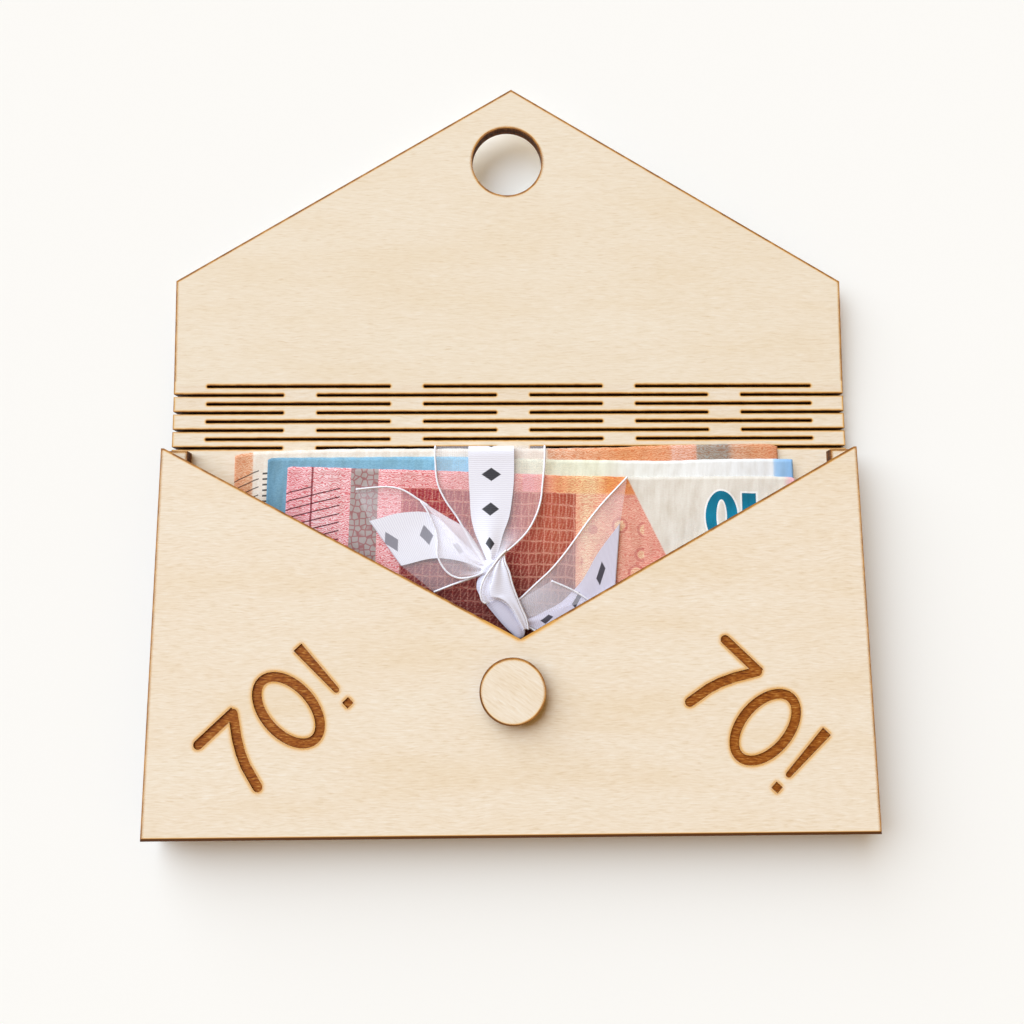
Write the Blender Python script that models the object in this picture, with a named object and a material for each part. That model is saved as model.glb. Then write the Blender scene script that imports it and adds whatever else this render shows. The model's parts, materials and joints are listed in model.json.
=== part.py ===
# Wooden money envelope: laser-cut plywood pocket, living hinge, flap and button,
# holding three banknotes tied with a ribbon bow.
# Lengths are metres. +X is to the right, +Y runs from the pocket to the flap's tip,
# +Z comes out of the front panel. The origin is the centre of the pocket's back
# face, which lies on the table.

import math

import bmesh
import bpy
from mathutils import Matrix

MM = 0.001

# The banknotes: the rear one is the largest, and each one before it is a step smaller both ways
note_length = 140.0 * MM
note_height = 77.0 * MM
note_step = 5.0 * MM

# The pocket is as wide and as deep as the notes, their room and the strips round them
note_side_room = 12.2 * MM
note_foot_room = 12.6 * MM
note_stand_out = 0.9 * MM
spacer_width = 5.3 * MM
sheet_width = note_length + 2 * (note_side_room + spacer_width)
pocket_height = note_height - note_stand_out + note_foot_room + spacer_width

# The plywood sheets and the glue line between two of them
ply_thickness = 3.0 * MM
glue_line = 0.25 * MM

# The front panel's notch, whose tip lies a little right of the middle
notch_depth = 47.7 * MM
notch_land = 0.7 * MM
notch_tip_shift = 2.0 * MM

# The living hinge: rows of slots, with bridges of wood left between them
row_count = 8
row_pitch = 2.33 * MM
first_row_above_pocket = 1.4 * MM
slot_width = 0.70 * MM
bridge_width = 8.6 * MM
bridge_spacing = 27.7 * MM
bridge_shift = 0.7 * MM
edge_bridge_width = 8.5 * MM
bridge_gap = 0.30 * MM
bevel_step = 0.04 * MM
bridge_bevel_gap = slot_width - bevel_step
bridge_pairs_each_side = 2
rest_raise = math.radians(4.0)

# The button glued on the front panel, below the notch
button_radius = 7.95 * MM
button_below_notch = 12.3 * MM
button_below_top = notch_depth + button_below_notch
round_segments = 64

# The flap, whose round hole meets the button when the flap is closed
hole_clearance = 1.3 * MM
hole_lead = 0.7 * MM
hole_shift = -0.65 * MM
hole_radius = button_radius + hole_clearance
hole_from_hinge = button_below_top + first_row_above_pocket - hole_lead
flap_side_height = 28.1 * MM
flap_tip_margin = 10.65 * MM
flap_tip_shift = 0.55 * MM
flap_length = hole_from_hinge + hole_radius + flap_tip_margin

# The engraved numerals: two groups, each turned away from the middle
engraving_depth = 0.40 * MM
stroke_width = 2.3 * MM
numeral_height = 20.0 * MM
left_group_from_edge = 33.7 * MM
left_group_above_bottom = 29.9 * MM
right_group_from_edge = 26.6 * MM
right_group_above_bottom = 25.0 * MM
left_group_turn = math.radians(43.8)
right_group_turn = math.radians(-43.9)
ring_segments = 40
cap_steps = 8
mark_head = 1.1
mark_foot = 0.6
dot_height = 0.83

# How the notes lie: the middle of each, the drop of the two front ones, and their slopes
rear_note_middle = -2.1 * MM
middle_note_middle = 5.5 * MM
front_note_middle = 8.0 * MM
middle_note_drop = 1.9 * MM
front_note_drop = 5.8 * MM
rear_note_slope = math.radians(0.55)
middle_note_slope = math.radians(-0.3)
front_note_slope = math.radians(-1.5)

# The ribbon: its width, the thickness of a sheet, and where it is knotted
ribbon_width = 28.0 * MM
sheet_thickness = 0.20 * MM
sheet_layers = 6
knot_left_of_tip = 7.2 * MM
knot_above_tip = 17.4 * MM
knot_width = 8.4 * MM
knot_length = 6.4 * MM
wrap_edge_gap = 0.35 * MM
knot_clearance = 0.3 * MM
end_curve = 1.15
bend_steps = 6
body_sides = 16

# Heights of the faces above the table
back_face_front = ply_thickness
spacer_back = back_face_front + glue_line
spacer_front = spacer_back + ply_thickness
panel_back = spacer_front + glue_line
panel_front = panel_back + ply_thickness
button_back = panel_front + glue_line
button_front = button_back + ply_thickness
pocket_depth = panel_back - back_face_front
layer_gap = (pocket_depth - sheet_layers * sheet_thickness) / (sheet_layers + 1)

# Edges of the pocket
half_width = sheet_width / 2
pocket_top = pocket_height / 2
pocket_bottom = -pocket_height / 2
notch_tip = (notch_tip_shift, pocket_top - notch_depth)
knot_place = (notch_tip[0] - knot_left_of_tip, notch_tip[1] + knot_above_tip)
cut_overrun = ply_thickness / 2


def clear_scene():
    """Remove every object that the file opened with."""
    for item in list(bpy.data.objects):
        bpy.data.objects.remove(item, do_unlink=True)


def make_material(name, colour, roughness):
    """Return a plain Principled material; none of these pieces is metal."""
    material = bpy.data.materials.new(name)
    material.use_nodes = True
    shader = material.node_tree.nodes["Principled BSDF"]
    shader.inputs["Base Color"].default_value = (*colour, 1.0)
    shader.inputs["Roughness"].default_value = roughness
    shader.inputs["Metallic"].default_value = 0.0
    material.diffuse_color = (*colour, 1.0)
    return material


def birch(name):
    """Pale birch plywood, one material for each wooden piece."""
    return make_material(name + "_birch", (0.83, 0.70, 0.52), 0.62)


def satin(name):
    """White ribbon."""
    return make_material(name + "_satin", (0.88, 0.87, 0.90), 0.45)


def add_object(name, mesh_maker, material, location=(0.0, 0.0, 0.0), turn=(0.0, 0.0, 0.0),
               parent=None):
    """Turn a bmesh into an object with outward faces."""
    bmesh.ops.recalc_face_normals(mesh_maker, faces=mesh_maker.faces)
    mesh = bpy.data.meshes.new(name)
    mesh_maker.to_mesh(mesh)
    mesh_maker.free()
    item = bpy.data.objects.new(name, mesh)
    bpy.context.collection.objects.link(item)
    item.data.materials.append(material)
    item.location = location
    item.rotation_euler = turn
    item.parent = parent
    return item


def loft(levels):
    """Close a solid between outlines of equal count, given as (height, points)."""
    bm = bmesh.new()
    rings = [[bm.verts.new((x, y, height)) for x, y in points] for height, points in levels]
    count = len(rings[0])
    for lower, upper in zip(rings, rings[1:]):
        for i in range(count):
            j = (i + 1) % count
            bm.faces.new((lower[i], lower[j], upper[j], upper[i]))
    bm.faces.new(list(reversed(rings[0])))
    bm.faces.new(rings[-1])
    return bm


def plate(points, low, high):
    """A flat sheet between two heights."""
    return loft([(low, points), (high, points)])


def circle(centre_x, centre_y, radius, segments):
    """Points of a circle, anticlockwise."""
    step = math.tau / segments
    return [(centre_x + radius * math.cos(i * step), centre_y + radius * math.sin(i * step))
            for i in range(segments)]


def cut(target, cutter):
    """Subtract a cutter, which stays as a hidden wire guide."""
    cutter.hide_render = True
    cutter.display_type = "WIRE"
    boolean = target.modifiers.new("cut_" + cutter.name, "BOOLEAN")
    boolean.operation = "DIFFERENCE"
    boolean.solver = "EXACT"
    boolean.object = cutter


def rectangle(left, right, low, high):
    """Corners of a rectangle, anticlockwise."""
    return [(left, low), (right, low), (right, high), (left, high)]


# The slotted sheet

def bridges(row):
    """Stretches of a row that stay wood, left to right; every second row has them at its ends."""
    closed_ends = row % 2 == 1
    found = []
    for step in range(-bridge_pairs_each_side, bridge_pairs_each_side + 1):
        if (step % 2 == 1) == closed_ends:
            centre = bridge_shift + step * bridge_spacing
            found.append((centre - bridge_width / 2, centre + bridge_width / 2))
    if closed_ends:
        found.insert(0, (-half_width, -half_width + edge_bridge_width))
        found.append((half_width - edge_bridge_width, half_width))
    return found


def slotted_edge(row, line, away, gap):
    """Points of an edge along a row, left to right: slots stand back, bridges reach nearly to the line.

    away is +1 for an edge above the row's line and -1 for one below it.
    """
    slot_edge = line + away * slot_width / 2
    bridge_edge = line + away * gap / 2
    points = []
    for left, right in bridges(row):
        if left > -half_width:
            points.append((left, slot_edge))
        points.append((left, bridge_edge))
        points.append((right, bridge_edge))
        if right < half_width:
            points.append((right, slot_edge))
    if points[0][0] > -half_width:
        points.insert(0, (-half_width, slot_edge))
    if points[-1][0] < half_width:
        points.append((half_width, slot_edge))
    return points


def slotted_sheet(lower_edge, upper_edge, middle):
    """A sheet whose bridges are bevelled on the inner face, so that neighbours can fold towards it.

    lower_edge and upper_edge give an edge's points, left to right, for a bridge gap.
    """
    levels = []
    for height, gap in ((middle - ply_thickness / 2, bridge_gap), (middle, bridge_gap),
                        (middle + ply_thickness / 2, bridge_bevel_gap)):
        levels.append((height, lower_edge(gap) + list(reversed(upper_edge(gap)))))
    return loft(levels)


def make_back_panel():
    """The pocket's back, up to the first row of slots."""
    first_row = pocket_top + first_row_above_pocket
    bm = slotted_sheet(lambda gap: [(-half_width, pocket_bottom), (half_width, pocket_bottom)],
                       lambda gap: slotted_edge(0, first_row, -1, gap), ply_thickness / 2)
    return add_object("back_panel", bm, birch("back_panel"))


def make_hinge_strips():
    """The seven strips between the eight rows, each turned about the row it hangs on."""
    turn = rest_raise / row_count
    parent = None
    strips = []
    for row in range(row_count - 1):
        bm = slotted_sheet(lambda gap: slotted_edge(row, 0.0, 1, gap),
                           lambda gap: slotted_edge(row + 1, row_pitch, -1, gap), 0.0)
        name = "hinge_strip_{}".format(row + 1)
        place = (0.0, row_pitch, 0.0)
        if parent is None:
            place = (0.0, pocket_top + first_row_above_pocket, ply_thickness / 2)
        parent = add_object(name, bm, birch(name), place, (turn, 0.0, 0.0), parent)
        strips.append(parent)
    return strips


def make_flap(last_strip):
    """The pentagonal flap on the last row, with the hole that goes round the button."""
    outline = [(-half_width, flap_side_height), (flap_tip_shift, flap_length),
               (half_width, flap_side_height)]
    last_row = row_count - 1
    bm = slotted_sheet(lambda gap: slotted_edge(last_row, 0.0, 1, gap), lambda gap: outline, 0.0)
    turn = (rest_raise / row_count, 0.0, 0.0)
    flap = add_object("flap", bm, birch("flap"), (0.0, row_pitch, 0.0), turn, last_strip)
    reach = ply_thickness / 2 + cut_overrun
    hole = plate(circle(hole_shift, hole_from_hinge, hole_radius, round_segments), -reach, reach)
    cutter = add_object("flap_hole_cutter", hole, birch("flap_hole"), parent=flap)
    cut(flap, cutter)
    return flap


# The layers glued on the back panel

def make_spacers():
    """Three strips that hold the front panel off the back and close the pocket's sides and bottom."""
    inner = half_width - spacer_width
    shelf = pocket_bottom + spacer_width
    outlines = {
        "spacer_bottom": rectangle(-half_width, half_width, pocket_bottom, shelf),
        "spacer_left": rectangle(-half_width, -inner, shelf + glue_line, pocket_top),
        "spacer_right": rectangle(inner, half_width, shelf + glue_line, pocket_top),
    }
    for name, outline in outlines.items():
        add_object(name, plate(outline, spacer_back, spacer_front), birch(name))


def make_front_panel():
    """The notched front, engraved with a group of numerals on each side."""
    outline = [
        (-half_width, pocket_bottom),
        (half_width, pocket_bottom),
        (half_width, pocket_top),
        (half_width - notch_land, pocket_top),
        notch_tip,
        (-half_width + notch_land, pocket_top),
        (-half_width, pocket_top),
    ]
    panel = add_object("front_panel", plate(outline, panel_back, panel_front),
                       birch("front_panel"))
    groups = (
        ("left", left_group_from_edge - half_width, left_group_above_bottom, left_group_turn),
        ("right", half_width - right_group_from_edge, right_group_above_bottom, right_group_turn),
    )
    for side, middle, above_bottom, turn in groups:
        for number, points in enumerate(numeral_outlines()):
            cutter_mesh = plate(points, panel_front - engraving_depth, panel_front + cut_overrun)
            shift = Matrix.Translation((middle, pocket_bottom + above_bottom, 0.0))
            cutter_mesh.transform(shift @ Matrix.Rotation(turn, 4, "Z"))
            name = "engraving_{}_{}".format(side, number + 1)
            cut(panel, add_object(name, cutter_mesh, birch(name)))
    return panel


def round_cap(centre, ahead, half):
    """Points of a half circle past the end of a stroke, from its right side to its left."""
    across = (-ahead[1], ahead[0])
    angles = [math.pi * i / cap_steps for i in range(1, cap_steps)]
    return [(centre[0] + half * (ahead[0] * math.sin(a) - across[0] * math.cos(a)),
             centre[1] + half * (ahead[1] * math.sin(a) - across[1] * math.cos(a))) for a in angles]


def stroke(points, start_width, end_width, round_start=False, round_end=False):
    """Outline of a pen stroke along a line of points, its width changing evenly along it."""
    count = len(points)
    left, right, directions = [], [], []
    for i, (x, y) in enumerate(points):
        before = points[max(i - 1, 0)]
        after = points[min(i + 1, count - 1)]
        length = math.hypot(after[0] - before[0], after[1] - before[1])
        ahead = ((after[0] - before[0]) / length, (after[1] - before[1]) / length)
        half = (start_width + (end_width - start_width) * i / (count - 1)) / 2
        left.append((x - ahead[1] * half, y + ahead[0] * half))
        right.append((x + ahead[1] * half, y - ahead[0] * half))
        directions.append(ahead)
    end_cap = round_cap(points[-1], directions[-1], end_width / 2) if round_end else []
    back = (-directions[0][0], -directions[0][1])
    start_cap = round_cap(points[0], back, start_width / 2) if round_start else []
    return right + end_cap + list(reversed(left)) + start_cap


def numeral_outlines():
    """Outlines of a seven, a nought in two halves, and an exclamation mark, about the nought's centre."""
    seven_bar_shares = [(-1.04, 0.445), (-0.47, 0.44)]
    seven_stem_shares = [(-0.505, 0.43), (-0.56, 0.34), (-0.66, 0.185), (-0.745, 0.02), (-0.80, -0.13),
                         (-0.86, -0.41)]
    mark_shares = [(0.575, 0.475), (0.57, -0.225)]
    dot_shares = [(0.517, -0.434), (0.613, -0.434)]
    nought_share = (0.277, 0.474)
    half_turn_steps = ring_segments // 2

    def scaled(shares):
        return [(x * numeral_height, y * numeral_height) for x, y in shares]

    outlines = [stroke(scaled(seven_bar_shares), stroke_width, stroke_width, round_start=True)]
    outlines.append(stroke(scaled(seven_stem_shares), stroke_width, stroke_width, round_start=True,
                           round_end=True))

    # Each half of the nought overlaps the other by one step at both ends
    for start in (0.0, math.pi):
        arc = [start + math.pi * i / half_turn_steps for i in range(-1, half_turn_steps + 2)]
        shares = [(nought_share[0] * math.cos(a), nought_share[1] * math.sin(a)) for a in arc]
        outlines.append(stroke(scaled(shares), stroke_width, stroke_width))
    outlines.append(stroke(scaled(mark_shares), stroke_width * mark_head, stroke_width * mark_foot,
                           round_end=True))
    outlines.append(stroke(scaled(dot_shares), stroke_width * dot_height, stroke_width * dot_height))
    return outlines


def make_button():
    """The round button, sawn from the same sheet and glued under the notch."""
    outline = circle(0.0, pocket_top - button_below_top, button_radius, round_segments)
    button = add_object("closure_button", plate(outline, button_back, button_front),
                        birch("closure_button"))
    button.data.shade_smooth()
    button.data.set_sharp_from_angle(angle=math.radians(30.0))
    return button


# What the pocket holds

def layer(number):
    """Lower and upper height of a thin sheet in the pocket, counted from the back."""
    low = back_face_front + layer_gap + number * (sheet_thickness + layer_gap)
    return low, low + sheet_thickness


def make_notes():
    """Three banknotes, each lying in its own layer with its top edge near the pocket's."""
    orange, blue, red = (0.80, 0.42, 0.22), (0.32, 0.56, 0.72), (0.78, 0.32, 0.34)
    notes = (
        ("note_rear", 0, rear_note_middle, note_stand_out, rear_note_slope, orange),
        ("note_middle", 1, middle_note_middle, -middle_note_drop, middle_note_slope, blue),
        ("note_front", 2, front_note_middle, -front_note_drop, front_note_slope, red),
    )
    for name, steps, middle, above_top, slope, colour in notes:
        low, high = layer(steps + 1)
        half = (note_length - steps * note_step) / 2
        outline = rectangle(-half, half, steps * note_step - note_height, 0.0)
        add_object(name, plate(outline, low, high), make_material(name + "_paper", colour, 0.7),
                   (middle, pocket_top + above_top, 0.0), (0.0, 0.0, slope))


def make_ribbon_wrap():
    """The ribbon's closed turn round the notes: full width at the edges, drawn in under the knot."""
    back_low, back_high = layer(0)
    front_low, front_high = layer(4)
    note_top = pocket_top + note_stand_out + wrap_edge_gap
    note_foot = note_top - note_height - 2 * wrap_edge_gap
    inner_radius = (front_low - back_high) / 2
    axis_height = (front_low + back_high) / 2
    centre = knot_place[0]
    rise = note_top - knot_place[1]
    fall = knot_place[1] - note_foot
    above_shares = [(0.0, 0.20), (0.15, 0.29), (0.26, 0.52), (0.39, 0.70), (0.55, 0.84), (0.70, 0.94),
                    (0.86, 1.0)]
    below_shares = [(1.0, 1.0), (0.75, 0.9), (0.55, 0.55), (0.38, 0.24), (0.18, 0.22)]

    # Each station is the outer edge's place, the inner edge's place, and the share of the width
    stations = []
    for part, share in below_shares:
        y = note_foot + fall * (1.0 - part)
        stations.append(((y, front_high), (y, front_low), share))
    for part, share in above_shares:
        y = knot_place[1] + rise * part
        stations.append(((y, front_high), (y, front_low), share))
    for bend_y, start in ((note_top, math.pi / 2), (note_foot, -math.pi / 2)):
        for i in range(bend_steps + 1):
            angle = start - math.pi * i / bend_steps
            edges = [(bend_y + radius * math.cos(angle), axis_height + radius * math.sin(angle))
                     for radius in (inner_radius + sheet_thickness, inner_radius)]
            stations.append((edges[0], edges[1], 1.0))

    bm = bmesh.new()
    rings = []
    for outer, inner, share in stations:
        half = ribbon_width * share / 2
        corners = ((-half, outer), (half, outer), (half, inner), (-half, inner))
        rings.append([bm.verts.new((centre + side, edge[0], edge[1])) for side, edge in corners])
    for this, following in zip(rings, rings[1:] + rings[:1]):
        for i in range(4):
            j = (i + 1) % 4
            bm.faces.new((this[i], this[j], following[j], following[i]))
    add_object("ribbon_wrap", bm, satin("ribbon_wrap"))


def bow_outline(start_x, shares):
    """Turn shares of the ribbon's width, counted from beside the knot, into points."""
    return [(start_x + x * ribbon_width, knot_place[1] + y * ribbon_width) for x, y in shares]


def make_bow_tails():
    """The two cut ends of the ribbon, lying flat on the notes."""
    left_shares = [(0.0, 0.06), (-0.01, 0.22), (-0.17, 0.36), (-0.44, 0.56), (-0.67, 0.71),
                   (-0.92, 0.74), (-1.06, 0.72), (-0.92, 0.42), (-0.63, 0.01), (-0.35, -0.21),
                   (-0.03, -0.09)]
    right_shares = [(0.14, -0.48), (0.64, -0.20), (0.94, -0.08), (0.99, 0.43), (1.07, 0.82),
                    (0.82, 0.56), (0.59, 0.28), (0.45, 0.10), (0.28, -0.11), (0.12, -0.28)]
    low, high = layer(5)
    left_start = knot_place[0] - knot_width / 2 - knot_clearance
    outline = bow_outline(left_start, left_shares)
    add_object("bow_tail_left", plate(outline, low, high), satin("bow_tail_left"))
    low, high = layer(4)
    right_start = knot_place[0] + knot_width / 2 + knot_clearance
    outline = bow_outline(right_start, right_shares)
    add_object("bow_tail_right", plate(outline, low, high), satin("bow_tail_right"))


def rounded_body(stations, across, low, high):
    """A soft body through stations of (x, y, half width), an ellipse at each, between two heights.

    across is the direction, in plan, of every ellipse's width.
    """
    half_height = (high - low) / 2
    widest = max(half for x, y, half in stations)
    bm = bmesh.new()
    rings = []
    for x, y, half in stations:
        thin = half_height * math.sqrt(half / widest)
        ring = []
        for k in range(body_sides):
            angle = math.tau * k / body_sides
            side = half * math.cos(angle)
            height = low + thin + thin * math.sin(angle)
            ring.append(bm.verts.new((x + across[0] * side, y + across[1] * side, height)))
        rings.append(ring)
    for this, following in zip(rings, rings[1:]):
        for k in range(body_sides):
            j = (k + 1) % body_sides
            bm.faces.new((this[k], this[j], following[j], following[k]))
    bm.faces.new(rings[0])
    bm.faces.new(rings[-1])
    return bm


def make_bow():
    """The knot, the ribbon's gathered end that hangs to the notch's tip, and the loop on the left."""
    low = layer(5)[0]
    high = panel_front
    knot_shares = [(-0.5, 0.42), (-0.4, 0.72), (-0.2, 0.94), (0.0, 1.0), (0.2, 0.94), (0.4, 0.72),
                   (0.5, 0.42)]
    knot = [(knot_place[0], knot_place[1] + along * knot_length, width * knot_width / 2)
            for along, width in knot_shares]
    add_object("bow_knot", rounded_body(knot, (1.0, 0.0), low, high), satin("bow_knot"))

    start = (knot_place[0], knot_place[1] - knot_length / 2 - knot_clearance)
    end = (notch_tip[0], notch_tip[1] + 2 * knot_clearance)
    run_shares = [(0.0, 0.62), (0.12, 0.92), (0.3, 1.0), (0.5, 0.92), (0.7, 0.66), (0.85, 0.40),
                  (1.0, 0.08)]
    run = [(start[0] + (end[0] - start[0]) * along ** end_curve,
            start[1] + (end[1] - start[1]) * along, width * knot_width / 2)
           for along, width in run_shares]
    gathered = rounded_body(run, (1.0, 0.0), low, high)
    add_object("bow_gathered_end", gathered, satin("bow_gathered_end"))

    loop_start = (knot_place[0] - knot_width / 2 - knot_clearance, knot_place[1])
    loop_low = layer(5)[1] + layer_gap
    loop_high = high - knot_clearance
    loop_across = (math.sqrt(0.5), math.sqrt(0.5))
    loop_shares = [(-0.04, 0.01, 0.05), (-0.09, 0.07, 0.09), (-0.15, 0.15, 0.155),
                   (-0.23, 0.26, 0.185), (-0.31, 0.37, 0.15), (-0.38, 0.46, 0.09),
                   (-0.43, 0.53, 0.03)]
    loop = [(loop_start[0] + x * ribbon_width, loop_start[1] + y * ribbon_width,
             half * ribbon_width) for x, y, half in loop_shares]
    looped = rounded_body(loop, loop_across, loop_low, loop_high)
    add_object("bow_loop", looped, satin("bow_loop"))


clear_scene()
make_back_panel()
hinge_strips = make_hinge_strips()
make_flap(hinge_strips[-1])
make_spacers()
make_front_panel()
make_button()
make_notes()
make_ribbon_wrap()
make_bow_tails()
make_bow()
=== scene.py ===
import json
import math

import bpy
import numpy as np
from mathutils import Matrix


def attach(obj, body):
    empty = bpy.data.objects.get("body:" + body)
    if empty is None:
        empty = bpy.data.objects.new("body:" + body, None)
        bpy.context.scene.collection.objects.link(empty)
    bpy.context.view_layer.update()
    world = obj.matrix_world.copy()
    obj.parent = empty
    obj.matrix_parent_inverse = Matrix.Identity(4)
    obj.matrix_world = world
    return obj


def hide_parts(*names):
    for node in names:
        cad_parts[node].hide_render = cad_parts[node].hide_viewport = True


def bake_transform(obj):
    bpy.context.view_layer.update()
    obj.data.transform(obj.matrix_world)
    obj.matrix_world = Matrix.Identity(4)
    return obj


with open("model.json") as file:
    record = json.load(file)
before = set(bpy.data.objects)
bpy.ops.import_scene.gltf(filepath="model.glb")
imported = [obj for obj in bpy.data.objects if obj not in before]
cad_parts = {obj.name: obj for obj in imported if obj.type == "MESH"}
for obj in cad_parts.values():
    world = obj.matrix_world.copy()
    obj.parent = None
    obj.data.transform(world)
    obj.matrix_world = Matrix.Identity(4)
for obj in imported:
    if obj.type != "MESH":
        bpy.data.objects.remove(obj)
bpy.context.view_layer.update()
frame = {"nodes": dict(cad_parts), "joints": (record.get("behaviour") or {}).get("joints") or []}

MM = 0.001


# THE CAMERA
# It hangs 210 mm over the table, a little towards the bottom edge of the envelope,
# and was fitted to the outlines of the panels, the slots, the hole and the button.
lens_mm = 28.58
sensor_mm = 36.0
nearest_mm = 10.0
camera_place_mm = (-3.0303, 3.0552, 209.8463)
camera_turn_deg = (7.8282, -0.8521, -0.3517)

camera_data = bpy.data.cameras.new("table_camera")
camera_data.lens = lens_mm
camera_data.sensor_width = sensor_mm
camera_data.clip_start = nearest_mm * MM
table_camera = bpy.data.objects.new("table_camera", camera_data)
table_camera.location = [value * MM for value in camera_place_mm]
table_camera.rotation_euler = [math.radians(value) for value in camera_turn_deg]
bpy.context.scene.collection.objects.link(table_camera)
bpy.context.scene.camera = table_camera


# THE POCKET'S BACK
# The lower part of one 3 mm birch plywood sheet, laser cut in one piece with the hinge
# and the flap. It lies on the table, and shows only above the notes and from behind.
ply = 3.0
half_width = 87.5
pocket_top = 47.0
first_row = 48.4
row_pitch = 2.33
row_count = 8
slot_half = 0.35
bridge_half = 4.3
bridge_spacing = 27.7
bridge_shift = 0.7
closed_end = 79.0
rest_step_deg = 0.5
steep = 0.6


def linear(hex_colour):
    """Linear RGBA of an sRGB hex colour: the standard curve, a power of 2.4 above its foot."""
    shares = [int(hex_colour[i:i + 2], 16) / 255 for i in (1, 3, 5)]
    return [s / 12.92 if s <= 0.04045 else ((s + 0.055) / 1.055) ** 2.4 for s in shares] + [1.0]


def feed(tree, node, feeds):
    """Feed a node's inputs from values, hex colours, sockets or other nodes."""
    for place, source in feeds.items():
        if isinstance(source, bpy.types.Node):
            source = source.outputs[2 if source.bl_idname == "ShaderNodeMix" else 0]
        if isinstance(source, bpy.types.NodeSocket):
            tree.links.new(source, node.inputs[place])
        else:
            node.inputs[place].default_value = linear(source) if isinstance(source, str) else source


def add_node(tree, kind, feeds=None, **settings):
    """Add a shader node, set it and feed it."""
    node = tree.nodes.new(kind)
    for name, value in settings.items():
        setattr(node, name, value)
    feed(tree, node, feeds or {})
    return node


def calc(tree, operation, *values, clamp=False):
    """A sum, product or other operation on numbers."""
    return add_node(tree, "ShaderNodeMath", dict(enumerate(values)), operation=operation, use_clamp=clamp)


def vector_calc(tree, operation, *values):
    """An operation on vectors. A length or a dot product gives a number."""
    node = add_node(tree, "ShaderNodeVectorMath", dict(enumerate(values)), operation=operation)
    return node.outputs["Value"] if operation in ("LENGTH", "DOT_PRODUCT") else node


def remap(tree, value, low, high, at_low=0.0, at_high=1.0):
    """A straight line from at_low, where the value is low, to at_high, where it is high; level past both."""
    return add_node(tree, "ShaderNodeMapRange", {"Value": value, "From Min": low, "From Max": high,
                                                 "To Min": at_low, "To Max": at_high})


def mix(tree, share, under, over, blend_type="MIX"):
    """A share of the colour over, on the colour under."""
    feeds = {0: share, 6: under, 7: over}
    return add_node(tree, "ShaderNodeMix", feeds, data_type="RGBA", blend_type=blend_type)


def tones(tree, value, *stops):
    """A colour that goes through stops, each a value and a hex colour."""
    node = add_node(tree, "ShaderNodeValToRGB", {0: value})
    elements = node.color_ramp.elements
    elements.remove(elements[1])
    elements[0].position, elements[0].color = stops[0][0], linear(stops[0][1])
    for place, colour in stops[1:]:
        elements.new(place).color = linear(colour)
    return node


def noise(tree, place, size, detail=2.0, roughness=0.5, shift=(0.0, 0.0, 0.0)):
    """Noise with patches of a size, or of three sizes along the axes."""
    if isinstance(size, tuple):
        place = add_node(tree, "ShaderNodeMapping", {"Vector": place, "Location": shift,
                                                     "Scale": [1 / part for part in size]})
        size = 1.0
    return add_node(tree, "ShaderNodeTexNoise", {"Vector": place, "Scale": 1 / size, "Detail": detail,
                                                 "Roughness": roughness})


def relief(tree, height, depth, strength):
    """A bump of a depth in mm that follows a pattern's height."""
    return add_node(tree, "ShaderNodeBump", {"Strength": strength, "Distance": depth * MM, "Height": height})


def start_material(name):
    """A new material with its node tree and its Principled shader."""
    material = bpy.data.materials.new(name)
    material.use_nodes = True
    return material, material.node_tree, material.node_tree.nodes["Principled BSDF"]


def slot_distance(tree, x, y):
    """A point's distances in mm to the nearest slot, to the nearest row's line and to the hinge's middle.

    Rows lie every row_pitch. A slot runs between two bridges, and its ends are half circles.
    """
    row = calc(tree, "DIVIDE", calc(tree, "SUBTRACT", y, first_row), row_pitch)
    row = add_node(tree, "ShaderNodeClamp", {0: calc(tree, "ROUND", row), 1: 0.0, 2: row_count - 1.0})
    odd = calc(tree, "FLOORED_MODULO", row, 2.0)
    line = calc(tree, "MULTIPLY_ADD", row, row_pitch, first_row)
    off_line = calc(tree, "ABSOLUTE", calc(tree, "SUBTRACT", y, line))
    centre = calc(tree, "MULTIPLY_ADD", odd, bridge_spacing, bridge_shift)
    off_bridge = calc(tree, "PINGPONG", calc(tree, "SUBTRACT", x, centre), bridge_spacing)
    out = calc(tree, "ABSOLUTE", x)
    far = calc(tree, "GREATER_THAN", out, closed_end - 2 * bridge_half)
    inner = calc(tree, "MULTIPLY_ADD", far, -half_width, calc(tree, "SUBTRACT", bridge_half, off_bridge))
    even = calc(tree, "SUBTRACT", 1.0, odd)
    outer = calc(tree, "MULTIPLY_ADD", even, -half_width, calc(tree, "SUBTRACT", out, closed_end))
    inside = calc(tree, "ADD", calc(tree, "MAXIMUM", inner, outer), slot_half)
    inside = calc(tree, "MAXIMUM", inside, 0.0)
    reach = vector_calc(tree, "LENGTH", add_node(tree, "ShaderNodeCombineXYZ", {0: inside, 1: off_line}))
    return calc(tree, "SUBTRACT", reach, slot_half), off_line, out


wander_size = 12.0
wander_reach = (1.0, 2.0, 0.0)
fibre_size = (3.0, 0.36, 3.0)
cloud_size = (42.0, 9.0, 9.0)
fleck_size = (3.4, 0.3, 2.0)
fleck_shift = (7.3, 2.9, 0.0)


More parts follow.
